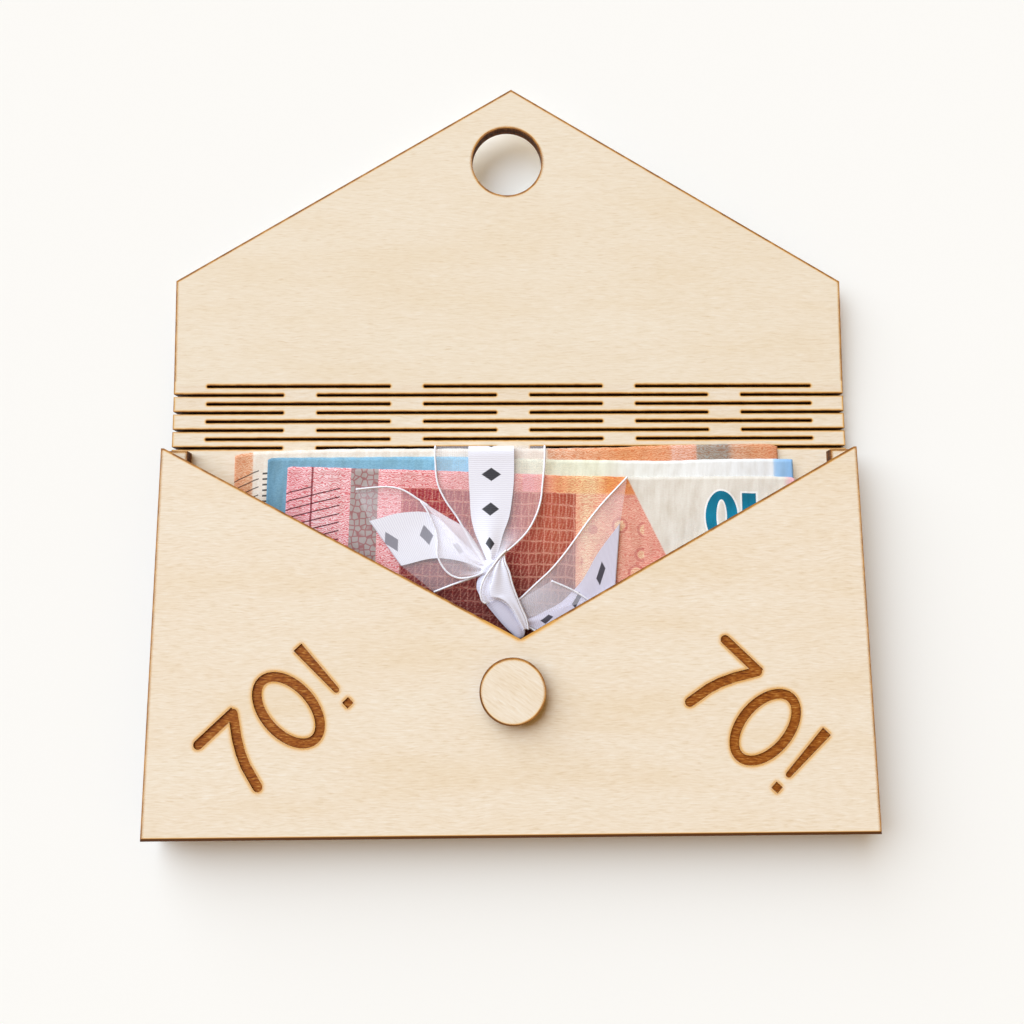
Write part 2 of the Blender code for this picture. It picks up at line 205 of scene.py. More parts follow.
def birch_figure(tree, place, painted_lightening):
    """The sanded face: its colour, its fibres, and the place bent by a wander of 1 to 2 mm over 12 mm.

    The fibres run along X. A cloudy figure and short darker flecks lie over them.
    """
    wander = noise(tree, place, wander_size).outputs["Color"]
    wander = vector_calc(tree, "SUBTRACT", wander, (0.5, 0.5, 0.5))
    bent = vector_calc(tree, "MULTIPLY_ADD", wander, wander_reach, place)
    fibre = noise(tree, bent, fibre_size, 4.0, 0.62)
    fibre_tone = tones(tree, fibre, (0.27, "#E8D4B6"), (0.43, "#F2E1C8"), (0.58, "#F6E7D1"),
                       (0.76, "#FBF1E1"))
    cloud = noise(tree, bent, cloud_size, 3.0)
    cloud_tone = tones(tree, cloud, (0.30, "#FBF6EE"), (0.50, "#FEFCFA"), (0.74, "#FFFFFF"))
    face = mix(tree, 1.0, fibre_tone, cloud_tone, "MULTIPLY")
    # Painted light: this share lifts the face towards pale cream; the flap uses it against the shade its tilt
    # gives it
    face = mix(tree, painted_lightening, face, "#FFF4DC")
    fleck = noise(tree, bent, fleck_size, 1.0, shift=fleck_shift)
    return mix(tree, remap(tree, fleck, 0.64, 0.80, 0.0, 0.40), face, "#D8B789"), fibre, bent


scorch_reach = 1.2
scorch_power = 0.42
scorch_gain = 2.8
scorch_cap = 0.82
slot_scorch_reach = 0.88
side_scorch_reach = 1.0
blotch_size = 2.6
foot_char = (0.50, 0.95)
# Painted shade on the button: how wide the darkening past the crescent's circle runs, and how dark it gets
crescent_edge = 0.15
crescent_shade_depth = 0.93


def edge_nearness(tree, reach):
    """How upright the bevel node's normal stays: 1 on the face, less within reach mm of a cut edge."""
    rounded = add_node(tree, "ShaderNodeBevel", {"Radius": reach * MM}, samples=8)
    flat = add_node(tree, "ShaderNodeNewGeometry").outputs["True Normal"]
    return vector_calc(tree, "DOT_PRODUCT", rounded, flat)


def edge_scorch_and_shade(tree, millimetres, slotted, foot, shade_crescent):
    """How burnt a face is beside its cut edges, from 0 for bare wood to 1 for char.

    Beside the slots and the hinge's sides it is a power of the distance, elsewhere of the bevel's lean. A
    crescent adds painted shade past a circle, drawn in the char's tones.
    """
    x, y, _ = add_node(tree, "ShaderNodeSeparateXYZ", {0: millimetres}).outputs
    lean = calc(tree, "SUBTRACT", 1.0, edge_nearness(tree, scorch_reach), clamp=True)
    scorch = calc(tree, "MULTIPLY", calc(tree, "POWER", lean, scorch_power), scorch_gain)
    if slotted:
        slot_gap, off_line, out = slot_distance(tree, x, y)
        clear = calc(tree, "GREATER_THAN", off_line, row_pitch / 2 + 0.1)
        scorch = calc(tree, "MULTIPLY", scorch, clear)
        side_gap = calc(tree, "SUBTRACT", half_width, out)
        for gap, reach in ((slot_gap, slot_scorch_reach), (side_gap, side_scorch_reach)):
            near = calc(tree, "POWER", remap(tree, gap, 0.0, reach, 1.0, 0.0), 1.7)
            scorch = calc(tree, "MAXIMUM", scorch, calc(tree, "MULTIPLY", near, 0.85))
    blotch = remap(tree, noise(tree, millimetres, blotch_size, 3.0), 0.3, 0.7, 0.84, 1.08)
    scorch = calc(tree, "MULTIPLY", calc(tree, "MINIMUM", scorch, scorch_cap), blotch)
    if foot is not None:
        char = remap(tree, y, foot + foot_char[0], foot + foot_char[1], 1.1, 0.0)
        scorch = calc(tree, "MAXIMUM", scorch, char)
    # Painted shade: past the circle the face is darkened like char, standing for the shade at the button's
    # lower left rim
    if shade_crescent is not None:
        middle_x, middle_y, radius = shade_crescent
        off_middle = vector_calc(tree, "SUBTRACT", millimetres, (middle_x, middle_y, 0.0))
        off_middle = vector_calc(tree, "LENGTH", vector_calc(tree, "MULTIPLY", off_middle, (1.0, 1.0, 0.0)))
        char = remap(tree, off_middle, radius, radius + crescent_edge, 0.0, crescent_shade_depth)
        scorch = calc(tree, "MAXIMUM", scorch, char)
    return calc(tree, "MINIMUM", scorch, 1.0)


halo_reach = 2.0
burn_size = (2.0, 0.38, 1.0)
engraved_rim_fade = 0.42


def engraving_halo(tree, face, scorch, fibre, x, y):
    """A wide, feathery scorch round the engraving, and a paler rim beside it than beside the cuts."""
    wide = remap(tree, edge_nearness(tree, halo_reach), 1.0, 0.975)
    feather = remap(tree, fibre, 0.35, 0.65, 0.45, 0.95)
    clear_of_sides = calc(tree, "COMPARE", x, 0.0, half_width - 3.0)
    clear_of_ends = calc(tree, "COMPARE", y, -20.0, 24.0)
    clear_of_cuts = calc(tree, "MULTIPLY", clear_of_sides, clear_of_ends)
    wide = calc(tree, "MULTIPLY", calc(tree, "MULTIPLY", wide, feather), clear_of_cuts)
    rim_cap = calc(tree, "MULTIPLY_ADD", clear_of_cuts, -engraved_rim_fade, 1.0)
    return mix(tree, wide, face, "#F4BC66"), calc(tree, "MINIMUM", scorch, rim_cap)


def engraved_floor(tree, bent, scorch):
    """Wood burnt brown by the laser's raster, in fibres, and darker beside the engraving's walls."""
    burnt = noise(tree, bent, burn_size, 5.0, 0.7)
    burnt = tones(tree, burnt, (0.34, "#6A2E00"), (0.45, "#904A06"), (0.56, "#A86018"), (0.70, "#D89E50"))
    return mix(tree, remap(tree, scorch, 0.35, 1.0, 0.0, 0.4), burnt, "#4A1E02")


striation_size = (0.3, 0.3, 6.0)
core_edge = (0.52, 0.66)


def cut_edge(tree, millimetres, sheet):
    """The charred edge: striations across it every 0.3 mm, and a core ply darker than the outer two."""
    y, z, slope = sheet
    char = noise(tree, millimetres, striation_size)
    char = tones(tree, char, (0.32, "#4E2C12"), (0.50, "#6E431D"), (0.68, "#8F5E2C"))
    level = vector_calc(tree, "DOT_PRODUCT", millimetres, (0.0, -slope, 1.0))
    depth = calc(tree, "ABSOLUTE", calc(tree, "SUBTRACT", level, z - slope * y))
    plies = mix(tree, remap(tree, depth, *core_edge), "#8E7660", "#F4DFC2")
    return mix(tree, 0.75, char, plies, "MULTIPLY")


def birch_ply(name, sheet=(0.0, ply / 2, 0.0), figure=(0.0, 0.0, 0.0), grain_turn_deg=0.0, slotted=False,
              floor_height=None, foot=None, painted_lightening=0.0, shade_crescent=None):
    """Laser-cut birch plywood, sanded and left bare.

    The face is pale and finely fibred. The laser leaves the edges charred, with a thin brown and
    orange scorch on the face beside them. sheet is a place (y, z) on the sheet's middle and its
    slope, so that the edge can show its three plies. floor_height is the height in mm below which an
    upward face is burnt by engraving. foot is the y of an edge that is charred more than the rest.
    The share of pale cream on the bare face is painted light. A crescent is a circle (x, y, radius) past
    which a disc's face is painted darker in the char's tones, as painted shade, so that one side of its rim
    is darker than the other.
    """
    material, tree, shader = start_material(name)
    where = add_node(tree, "ShaderNodeTexCoord")
    millimetres = add_node(tree, "ShaderNodeVectorMath", {0: where.outputs["Object"], 3: 1 / MM},
                           operation="SCALE")
    x, y, z = add_node(tree, "ShaderNodeSeparateXYZ", {0: millimetres}).outputs
    facing = add_node(tree, "ShaderNodeSeparateXYZ", {0: where.outputs["Normal"]}).outputs[2]
    placed = add_node(tree, "ShaderNodeMapping", {"Vector": millimetres, "Location": figure,
                                                  "Rotation": (0.0, 0.0, math.radians(grain_turn_deg))})
    face, fibre, bent = birch_figure(tree, placed, painted_lightening)
    # The scorch is the laser's, and on the button it also holds the painted shade of the crescent
    scorch = edge_scorch_and_shade(tree, millimetres, slotted, foot, shade_crescent)
    if floor_height is not None:
        face, scorch = engraving_halo(tree, face, scorch, fibre, x, y)
    scorch_and_shade_tone = tones(tree, scorch, (0.0, "#F8DEA6"), (0.34, "#F2C67C"), (0.60, "#DA9C44"),
                        (0.80, "#A0662A"), (1.0, "#56300F"))
    face = mix(tree, remap(tree, scorch, 0.05, 0.60), face, scorch_and_shade_tone)
    if floor_height is not None:
        low = calc(tree, "LESS_THAN", z, floor_height)
        upward = calc(tree, "GREATER_THAN", facing, steep)
        face = mix(tree, calc(tree, "MULTIPLY", low, upward), face, engraved_floor(tree, bent, scorch))
    edge = calc(tree, "LESS_THAN", calc(tree, "ABSOLUTE", facing), steep)
    feed(tree, shader, {"Base Color": mix(tree, edge, face, cut_edge(tree, millimetres, sheet)),
                        "Roughness": remap(tree, fibre, 0.3, 0.7, 0.58, 0.72),
                        "Normal": relief(tree, fibre, 0.06, 0.35), "IOR": 1.45, "Specular IOR Level": 0.35})
    return material


def refinish(node, material):
    """Give a CAD node its material."""
    piece = frame["nodes"][node]
    piece.data.materials.clear()
    piece.data.materials.append(material)


refinish("back_panel", birch_ply("back_birch", figure=(40.0, 13.0, 5.0), slotted=True))


# THE LIVING HINGE
# Eight rows of slots make the sheet bend. The wood between two rows is a strip, and the bridges
# that join the strips twist. Each bridge is pieced out across its row, set at the row's tilt at rest.
skin = 0.004
fill_half = slot_half + 0.01
fill_height = ply / 2 - skin
fill_steps = 15


def lattice_faces(rows, columns, ring=False, first=0):
    """Quads of a grid of points, row by row; a ring also joins each row's last point to its first."""
    across = columns if ring else columns - 1
    i, j = np.meshgrid(np.arange(rows - 1), np.arange(across), indexing="ij")
    after = (j + 1) % columns
    near, far = i * columns, (i + 1) * columns
    quads = np.stack([near + j, near + after, far + after, far + j], -1)
    return quads.reshape(-1, 4) + first


def add_piece(name, points, faces, materials, kinds=None, uv=None, smooth=True):
    """A mesh object from arrays: points in mm, faces as index rows, a material index for each face."""
    mesh = bpy.data.meshes.new(name)
    mesh.from_pydata((np.asarray(points, float) * MM).tolist(), [], [list(face) for face in faces])
    for material in materials:
        mesh.materials.append(material)
    if kinds is not None:
        mesh.polygons.foreach_set("material_index", np.asarray(kinds, np.int32))
    if uv is not None:
        corners = np.zeros(len(mesh.loops), np.int32)
        mesh.loops.foreach_get("vertex_index", corners)
        layer = mesh.uv_layers.new(name="cloth")
        layer.data.foreach_set("uv", np.asarray(uv, np.float32)[corners].ravel())
    mesh.polygons.foreach_set("use_smooth", np.full(len(mesh.polygons), smooth))
    mesh.validate()
    mesh.update()
    piece = bpy.data.objects.new(name, mesh)
    bpy.context.scene.collection.objects.link(piece)
    return piece


def bridge_spans(row, dip):
    """The two sides of each bridge in a row: lines across it that bulge into the slots' ends by dip."""
    spans = []
    for step in range(-2, 3):
        if step % 2 == row % 2:
            middle = bridge_shift + step * bridge_spacing
            spans.append((middle - bridge_half - dip, middle + bridge_half + dip))
    if row % 2 == 1:
        rim = np.full(fill_steps, half_width - skin)
        spans += [(-rim, -closed_end + dip), (closed_end - dip, rim)]
    return spans


joint_places = [(joint["pos_m"][1] / MM, joint["pos_m"][2] / MM) for joint in frame["joints"]]
hinge_figure = (3.0, 1.5, 1.0)
for row in range(row_count - 1):
    tilt = math.radians((row + 1) * rest_step_deg)
    strip_birch = birch_ply("strip_{}_birch".format(row + 1), figure=hinge_figure, slotted=True,
                            sheet=(joint_places[row][0], joint_places[row][1], math.tan(tilt)))
    refinish("hinge_strip_{}".format(row + 1), strip_birch)

bridge_birch = birch_ply("bridge_birch", figure=hinge_figure, slotted=True)
across = np.linspace(-fill_half, fill_half, fill_steps)
dip = slot_half - np.sqrt(np.clip(slot_half ** 2 - across ** 2, 0.0, None))
for row, (row_y, row_z) in enumerate(joint_places):
    points, faces = [], []
    for left, right in bridge_spans(row, dip):
        corners = [(left, fill_height), (right, fill_height), (right, -fill_height), (left, -fill_height)]
        rings = np.stack([np.stack([side, across, np.full(fill_steps, height)], -1)
                          for side, height in corners], 1)
        first = sum(len(block) for block in points)
        last = first + (fill_steps - 1) * 4
        points.append(rings.reshape(-1, 3))
        faces += lattice_faces(fill_steps, 4, ring=True, first=first).tolist()
        faces += [[first + 3, first + 2, first + 1, first], [last, last + 1, last + 2, last + 3]]
    flat_x, flat_y, flat_z = np.concatenate(points).T
    tilt = math.radians((row + 0.5) * rest_step_deg)
    turned = np.stack([flat_x, row_y + flat_y * math.cos(tilt) - flat_z * math.sin(tilt),
                       row_z + flat_y * math.sin(tilt) + flat_z * math.cos(tilt)], -1)
    web = add_piece("hinge_bridges_{}".format(row + 1), turned, faces, [bridge_birch], smooth=False)
    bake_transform(web)


# THE FLAP
# The pentagonal end of the same sheet, with a hole that goes round the button. It is free of the
# table by four degrees, because the hinge keeps a little of its bend.
flap_tilt = math.radians(row_count * rest_step_deg)
# Painted light: the flap's face is lifted towards pale cream, to offset the shade its four-degree tilt away
# from the lamp gives it
refinish("flap", birch_ply("flap_birch", figure=(-65.0, 21.0, 9.0), slotted=True, painted_lightening=0.24,
                           sheet=(joint_places[-1][0], joint_places[-1][1], math.tan(flap_tilt))))


# THE SPACERS
# Three strips of the same plywood, glued round the back panel's sides and bottom, keep the
# front panel 3.5 mm off the back. The glue shows as a thin brown line between the sheets.
glue_gap = 0.25
glue_inset = 0.12
spacer_width = 5.3
spacer_low = ply + glue_gap
spacer_high = spacer_low + ply
panel_back = spacer_high + glue_gap
pocket_foot = -pocket_top
shelf = pocket_foot + spacer_width
notch_depth = 47.7
notch_tip = (2.0, pocket_top - notch_depth)
notch_land = 0.7

for number, node in enumerate(("spacer_left", "spacer_right", "spacer_bottom")):
    refinish(node, birch_ply(node + "_birch", figure=(11.0 * number, 31.0, 17.0),
                             sheet=(0.0, (spacer_low + spacer_high) / 2, 0.0)))

glue, tree, shader = start_material("smoked_wood_glue")
smoke = noise(tree, add_node(tree, "ShaderNodeTexCoord").outputs["Object"], MM / 0.6)
feed(tree, shader, {"Base Color": tones(tree, smoke, (0.35, "#3A2110"), (0.65, "#6B4422")), "Roughness": 0.5})


def notch_height(x):
    """Height of the notch's edge at x: a straight line from the tip to the land at each side."""
    span = half_width - notch_land - notch_tip[0] * math.copysign(1.0, x)
    return min(pocket_top, notch_tip[1] + notch_depth * abs(x - notch_tip[0]) / span)


sides = ((-half_width, -half_width + spacer_width), (half_width - spacer_width, half_width))
glue_blocks = []
for low, high, under_panel in ((ply, spacer_low, False), (spacer_high, panel_back, True)):
    glue_blocks.append((-half_width, half_width, pocket_foot, shelf, shelf, low, high))
    for left, right in sides:
        tops = [notch_height(x) if under_panel else pocket_top for x in (left, right)]
        glue_blocks.append((left, right, shelf + glue_gap, *tops, low, high))
for left, right in sides:
    top = shelf + glue_gap + glue_inset
    glue_blocks.append((left, right, shelf - glue_inset, top, top, spacer_low, spacer_high))
box_faces = np.array([(3, 2, 1, 0), (4, 5, 6, 7), (0, 1, 5, 4), (1, 2, 6, 5), (2, 3, 7, 6), (3, 0, 4, 7)])
points, faces = [], []
for left, right, near, far_left, far_right, low, high in glue_blocks:
    left, right, near = left + glue_inset, right - glue_inset, near + glue_inset
    faces += (box_faces + len(points)).tolist()
    for height in (low, high):
        points += [(left, near, height), (right, near, height), (right, far_right - glue_inset, height),
                   (left, far_left - glue_inset, height)]
glue_lines = add_piece("glue_lines", points, faces, [glue], smooth=False)
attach(glue_lines, "pocket")


# THE FRONT PANEL
# The notched front, from a second sheet. Numerals are engraved 0.4 mm deep on both sides of the
# notch; the laser's raster leaves their floor brown and fibrous, with a wide orange scorch round it.
panel_front = panel_back + ply
engraving_half = 0.2
refinish("front_panel", birch_ply("front_birch", figure=(17.0, -44.0, 3.0), foot=-pocket_top,
                                  sheet=(0.0, panel_back + ply / 2, 0.0),
                                  floor_height=panel_front - engraving_half))


# THE BUTTON
# A disc of the same plywood, glued below the notch with its grain turned. The flap's hole goes
# round it. The glue under it is a thin brown disc. Its face is painted darker at its lower left rim, as
# painted shade.
button_radius = 7.95
button_centre = (0.0, -13.0)
button_back = panel_front + glue_gap
# Painted shade: the button's face darkens past this circle, at its lower left rim
button_shade_crescent = (0.30, -12.70, 7.80)
refinish("closure_button", birch_ply("button_birch", figure=(5.0, 9.0, 40.0), grain_turn_deg=35.0,
                                     sheet=(0.0, button_back + ply / 2, 0.0), shade_crescent=button_shade_crescent))
disc_steps = 48
turn = np.linspace(0.0, math.tau, disc_steps, endpoint=False)
disc = np.stack([button_centre[0] + (button_radius - glue_inset) * np.cos(turn),
                 button_centre[1] + (button_radius - glue_inset) * np.sin(turn)], -1)
disc_points = np.concatenate([np.column_stack([disc, np.full(disc_steps, height)])
                              for height in (panel_front, button_back)])
disc_faces = lattice_faces(2, disc_steps, ring=True).tolist()
disc_faces += [list(range(disc_steps - 1, -1, -1)), list(range(disc_steps, 2 * disc_steps))]
button_glue = add_piece("button_glue", disc_points, disc_faces, [glue], smooth=False)
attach(button_glue, "pocket")


# THE BANKNOTES
# Three printed paper notes, each smaller than the one behind it, stand in the pocket with their
# top edges showing. The paper is a little creased. Their print is plain bands, wavy lines and hatching.
note_length = 140.0
note_height = 77.0
note_step = 5.0
note_rows, note_columns = 78, 281
paper_half = 0.05
hatch_half_pitch = 1.05
hatch_half_line = 0.16
hatch_column = 6.4


def cloth_solid(grid, half):
    """Points and faces of a thin solid: a grid of points moved by half along its normals, both ways."""
    rows, columns = grid.shape[:2]
    along, across = np.gradient(grid, axis=0), np.gradient(grid, axis=1)
    normal = np.cross(across, along)
    normal /= np.maximum(np.linalg.norm(normal, axis=2, keepdims=True), 1e-9)
    points = np.concatenate([(grid + normal * half).reshape(-1, 3), (grid - normal * half).reshape(-1, 3)])
    count = rows * columns
    index = np.arange(count).reshape(rows, columns)
    rim = np.concatenate([index[0, :-1], index[:-1, -1], index[-1, :0:-1], index[:0:-1, 0]])
    after = np.roll(rim, -1)
    top = lattice_faces(rows, columns)
    walls = np.stack([after, rim, rim + count, after + count], -1)
    faces = np.concatenate([top, top[:, ::-1] + count, walls])
    return points, faces, normal


def waves(tree, place, pitch, direction, distortion, detail=2.0, detail_scale=1.0):
    """Waves a pitch apart along X or Y, or rings; the texture makes 20 / tau of them in a unit."""
    ways = {"bands_direction": direction}
    if direction == "SPHERICAL":
        ways = {"wave_type": "RINGS", "rings_direction": direction}
    feeds = {"Vector": place, "Scale": math.tau / (20 * pitch), "Distortion": distortion, "Detail": detail,
             "Detail Scale": detail_scale}
    return add_node(tree, "ShaderNodeTexWave", feeds, **ways).outputs["Fac"]


def begin_print(name, steps, *bands):
    """Start a note's print: soft colour bands along it, each mm from its left end and a colour."""
    length, height = note_length - steps * note_step, note_height - steps * note_step
    material, tree, _ = start_material(name)
    place = add_node(tree, "ShaderNodeUVMap", uv_map="cloth")
    place = add_node(tree, "ShaderNodeMapping", {"Vector": place, "Scale": (length, height, 1.0)})
    u, v, _ = add_node(tree, "ShaderNodeSeparateXYZ", {0: place}).outputs
    colour = tones(tree, calc(tree, "DIVIDE", u, length), *[(mm / length, tone) for mm, tone in bands])
    return material, tree, place, u, v, colour


def overprint(tree, colour, ink, masks, share=1.0):
    """Print an ink over a colour where every mask is 1; share is how well the ink covers."""
    for mask in masks:
        share = calc(tree, "MULTIPLY", mask, share)
    return mix(tree, share, colour, ink)


def end_print(material, place, colour, line_mm, ink, strength, plain):
    """Finish a print: short wavy security lines, worn paper, soft folds and a matt surface.

    The lines are line_mm apart, and wander by a line or two over a few millimetres. plain is a mask
    of the parts left without them.
    """
    tree = material.node_tree
    wavy = waves(tree, place, line_mm, "Y", 11.0, 1.5, 1.5 * line_mm / 0.5)
    printed = calc(tree, "SUBTRACT", 1.0, plain, clamp=True)
    share = calc(tree, "MULTIPLY", remap(tree, wavy, 0.25, 0.85, 0.0, strength), printed)
    colour = mix(tree, share, colour, ink, "MULTIPLY")
    worn = tones(tree, noise(tree, place, (3.0, 7.0, 1.0), 5.0), (0.32, "#F2EFEB"), (0.56, "#FFFFFF"))
    folds = noise(tree, place, (6.0, 26.0, 1.0), 3.5)
    feed(tree, tree.nodes["Principled BSDF"], {
        "Base Color": mix(tree, 1.0, colour, worn, "MULTIPLY"), "Normal": relief(tree, folds, 0.8, 0.7),
        "Roughness": 0.78, "IOR": 1.45, "Specular IOR Level": 0.25})
    return material


def hatch_lines(tree, u, v, rise, first, right):
    """A mask of thin slanted lines 2.1 mm apart, from the left end to right.

    first is where the first line meets the left end; past the hatch column it is left out.
    """
    slanted = calc(tree, "SUBTRACT", calc(tree, "MULTIPLY_ADD", u, rise, v), first)
    drawn = calc(tree, "LESS_THAN", calc(tree, "PINGPONG", slanted, hatch_half_pitch), hatch_half_line)
    past = calc(tree, "GREATER_THAN", u, hatch_column)
    below = calc(tree, "GREATER_THAN", calc(tree, "MULTIPLY_ADD", past, -1.6, slanted), -0.4)
    before = calc(tree, "LESS_THAN", u, right)
    return calc(tree, "MULTIPLY", calc(tree, "MULTIPLY", drawn, below), before)


def lay_note(name, steps, middle, top_edge, slope_deg, layer_height, phase, material):
    """Lay a note: x along it, y down from its top edge, and a height of three low waves, 0.1 mm each.

    top_edge is the worn top edge in mm; a point v of the way down follows it by a share of (1 - v) cubed.
    """
    length, height = note_length - steps * note_step, note_height - steps * note_step
    u, v = np.meshgrid(np.linspace(0.0, 1.0, note_columns), np.linspace(0.0, 1.0, note_rows))
    slope = math.radians(slope_deg)
    x = middle + (u - 0.5) * length * math.cos(slope) + v * height * math.sin(slope)
    edge_x, edge_y = np.array(top_edge).T
    straight = np.interp(middle, edge_x, edge_y) + (x - middle) * math.tan(slope)
    worn = np.interp(x, edge_x, edge_y) + 0.05 * np.sin(u * 61.0 + 2 * phase) * np.sin(u * 173.0)
    y = straight + (worn - straight) * (1 - v) ** 3 - v * height * math.cos(slope)
    z = layer_height + 0.06 * np.sin(u * 19.0 + phase) + 0.04 * np.sin(v * 9.0 + u * 31.0) \
        + 0.04 * np.cos(u * 47.0 - v * 3.0 + phase)
    points, faces, _ = cloth_solid(np.stack([x, y, z], -1)[::-1], paper_half)
    uv = np.tile(np.stack([u, v], -1)[::-1].reshape(-1, 2), (2, 1))
    note = add_piece(name, points, faces, [material], uv=uv)
    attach(note, "pocket")
    return note


# The rear note: an orange end with slanted hatching, a row of plain ticks, cream, and mottled orange
material, tree, place, u_mm, v_mm, colour = begin_print(
    "orange_printed_paper", 0, (0.0, "#E9B08A"), (4.3, "#F0C29E"), (4.7, "#F6ECDE"), (30.0, "#FAF3E8"),
    (60.0, "#F5ECE0"), (80.0, "#F0E0CE"), (80.6, "#F5CBB0"), (90.0, "#F4BC96"), (100.0, "#F0AA76"),
    (112.0, "#EEB088"), (112.4, "#F5C6B2"), (118.6, "#F3BFA8"), (119.2, "#B0AAA0"), (127.0, "#AAA096"),
    (128.2, "#DDB69C"), (134.0, "#E3AC84"), (140.0, "#E6A47C"))
colour = overprint(tree, colour, "#3A2A24", [hatch_lines(tree, u_mm, v_mm, 0.36, 7.2, 6.2)], 0.85)
ticks = [calc(tree, "COMPARE", u_mm, 7.9, 0.75), calc(tree, "COMPARE", v_mm, 11.4, 6.6),
         calc(tree, "LESS_THAN", calc(tree, "PINGPONG", v_mm, 0.72), 0.24)]
colour = overprint(tree, colour, "#2E2826", ticks, 0.9)
plain = calc(tree, "MULTIPLY", calc(tree, "COMPARE", u_mm, 42.4, 37.8), 0.8)
orange_paper = end_print(material, place, colour, 0.62, "#E29A5E", 0.62, plain)
rear_top_edge = [(-71.6, 45.9), (-69.6, 46.5), (-65.8, 47.2), (-50.4, 47.7), (-44.8, 47.9), (8.8, 47.9),
                 (27.8, 48.1), (34.8, 48.5), (47.3, 48.8), (62.7, 49.0), (67.5, 48.9), (69.2, 48.3)]
rear_note = lay_note("rear_banknote", 0, -0.8, rear_top_edge, 0.55, 3.957, 0.4, orange_paper)
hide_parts("note_rear")

# The middle note: blue that fades through a greenish cream to white, with a blue end
material, tree, place, u_mm, v_mm, colour = begin_print(
    "blue_printed_paper", 1, (0.0, "#6A97B0"), (2.5, "#7FABC2"), (14.0, "#90BDD3"), (30.0, "#8BBDD6"),
    (50.0, "#98CDE7"), (56.0, "#93C6DF"), (60.5, "#CCDCD8"), (63.5, "#EDE6CC"), (84.0, "#F3F1D8"),
    (92.0, "#F5F3EA"), (110.0, "#F4F2EE"), (130.0, "#F0F0F0"), (130.3, "#A6CCF0"), (135.0, "#8CB8E2"))
plain = remap(tree, u_mm, 66.0, 90.0, 0.55)
blue_paper = end_print(material, place, colour, 0.8, "#8FAFC4", 0.5, plain)
middle_top_edge = [(-62.2, 45.0), (-61.3, 45.5), (-44.7, 45.6), (-15.7, 45.7), (8.8, 44.9), (25.8, 44.6),
                   (39.7, 44.4), (51.1, 44.8), (67.5, 44.9), (72.8, 44.7)]
middle_note = lay_note("middle_banknote", 1, 5.3, middle_top_edge, -0.3, 4.486, 1.9, blue_paper)
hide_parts("note_middle")


# The front note: a line and slanted hatching at its left end, a foil strip, a deep red panel of fine
# engraved lines, an orange top, peach with rings, a pale end, and large plain numerals
def foil_strip(tree, place):
    """Grey foil, pressed in cells 1.6 mm across with reddish lines between them."""
    cells = add_node(tree, "ShaderNodeTexVoronoi", {"Vector": place, "Scale": 1 / 1.6, "Randomness": 0.55},
                     feature="DISTANCE_TO_EDGE")
    return mix(tree, remap(tree, cells.outputs["Distance"], 0.04, 0.13), "#A47070", "#B2A6A2")


def deep_red_panel(tree, place, length_share, v):
    """Deep red, crossed by fine pale lines: two sets of waves and one of rings. Painted shade darkens it
    downwards, towards the notch's tip, and fades the lines there.
    """
    tone = tones(tree, length_share, (0.22, "#BF5560"), (0.30, "#A9424A"), (0.42, "#A4423F"),
                 (0.52, "#BC6044"), (0.56, "#B0563E"))
    # Painted shade: the red darkens from 16 to 31 mm down
    tone = mix(tree, remap(tree, v, 16.0, 31.0), tone, "#64201C")
    etching = 0.0
    for pitch, direction, bend, detail, low, high, share in ((1.9, "X", 1.6, 2.0, 0.90, 0.99, 1.0),
                                                             (3.1, "Y", 2.2, 2.0, 0.90, 0.99, 1.0),
                                                             (0.9, "SPHERICAL", 3.0, 1.0, 0.55, 1.0, 0.55)):
        lines = waves(tree, place, pitch, direction, bend, detail)
        etching = calc(tree, "MAXIMUM", etching, remap(tree, lines, low, high, 0.0, share))
    # Painted shade also fades the pale lines from 20 to 34 mm down
    shaded_line_share = remap(tree, v, 20.0, 34.0, 0.62, 0.25)
    return mix(tree, calc(tree, "MULTIPLY", etching, shaded_line_share), tone, "#EBB79E")


nought_centre = (110.9, 10.3)
nought_outer = (4.1, 6.6)
nought_inner = (1.35, 4.4)
bar_centre = (118.0, 10.7)
bar_half = (1.8, 6.4)


def plain_numerals(tree, place, u, v, grow):
    """A mask of a nought, the space between two ellipses, and of a bar beside it, both grown by grow mm."""
    centred = vector_calc(tree, "SUBTRACT", place, (*nought_centre, 0.0))
    reaches = []
    for (half_x, half_y), more in ((nought_outer, grow), (nought_inner, -grow)):
        scaled = vector_calc(tree, "MULTIPLY", centred, (1 / (half_x + more), 1 / (half_y + more), 0.0))
        reaches.append(vector_calc(tree, "LENGTH", scaled))
    nought = calc(tree, "MULTIPLY", calc(tree, "LESS_THAN", reaches[0], 1.0),
                  calc(tree, "GREATER_THAN", reaches[1], 1.0))
    bar = calc(tree, "MULTIPLY", calc(tree, "COMPARE", u, bar_centre[0], bar_half[0] + grow),
               calc(tree, "COMPARE", v, bar_centre[1], bar_half[1] + grow))
    return calc(tree, "MAXIMUM", nought, bar)


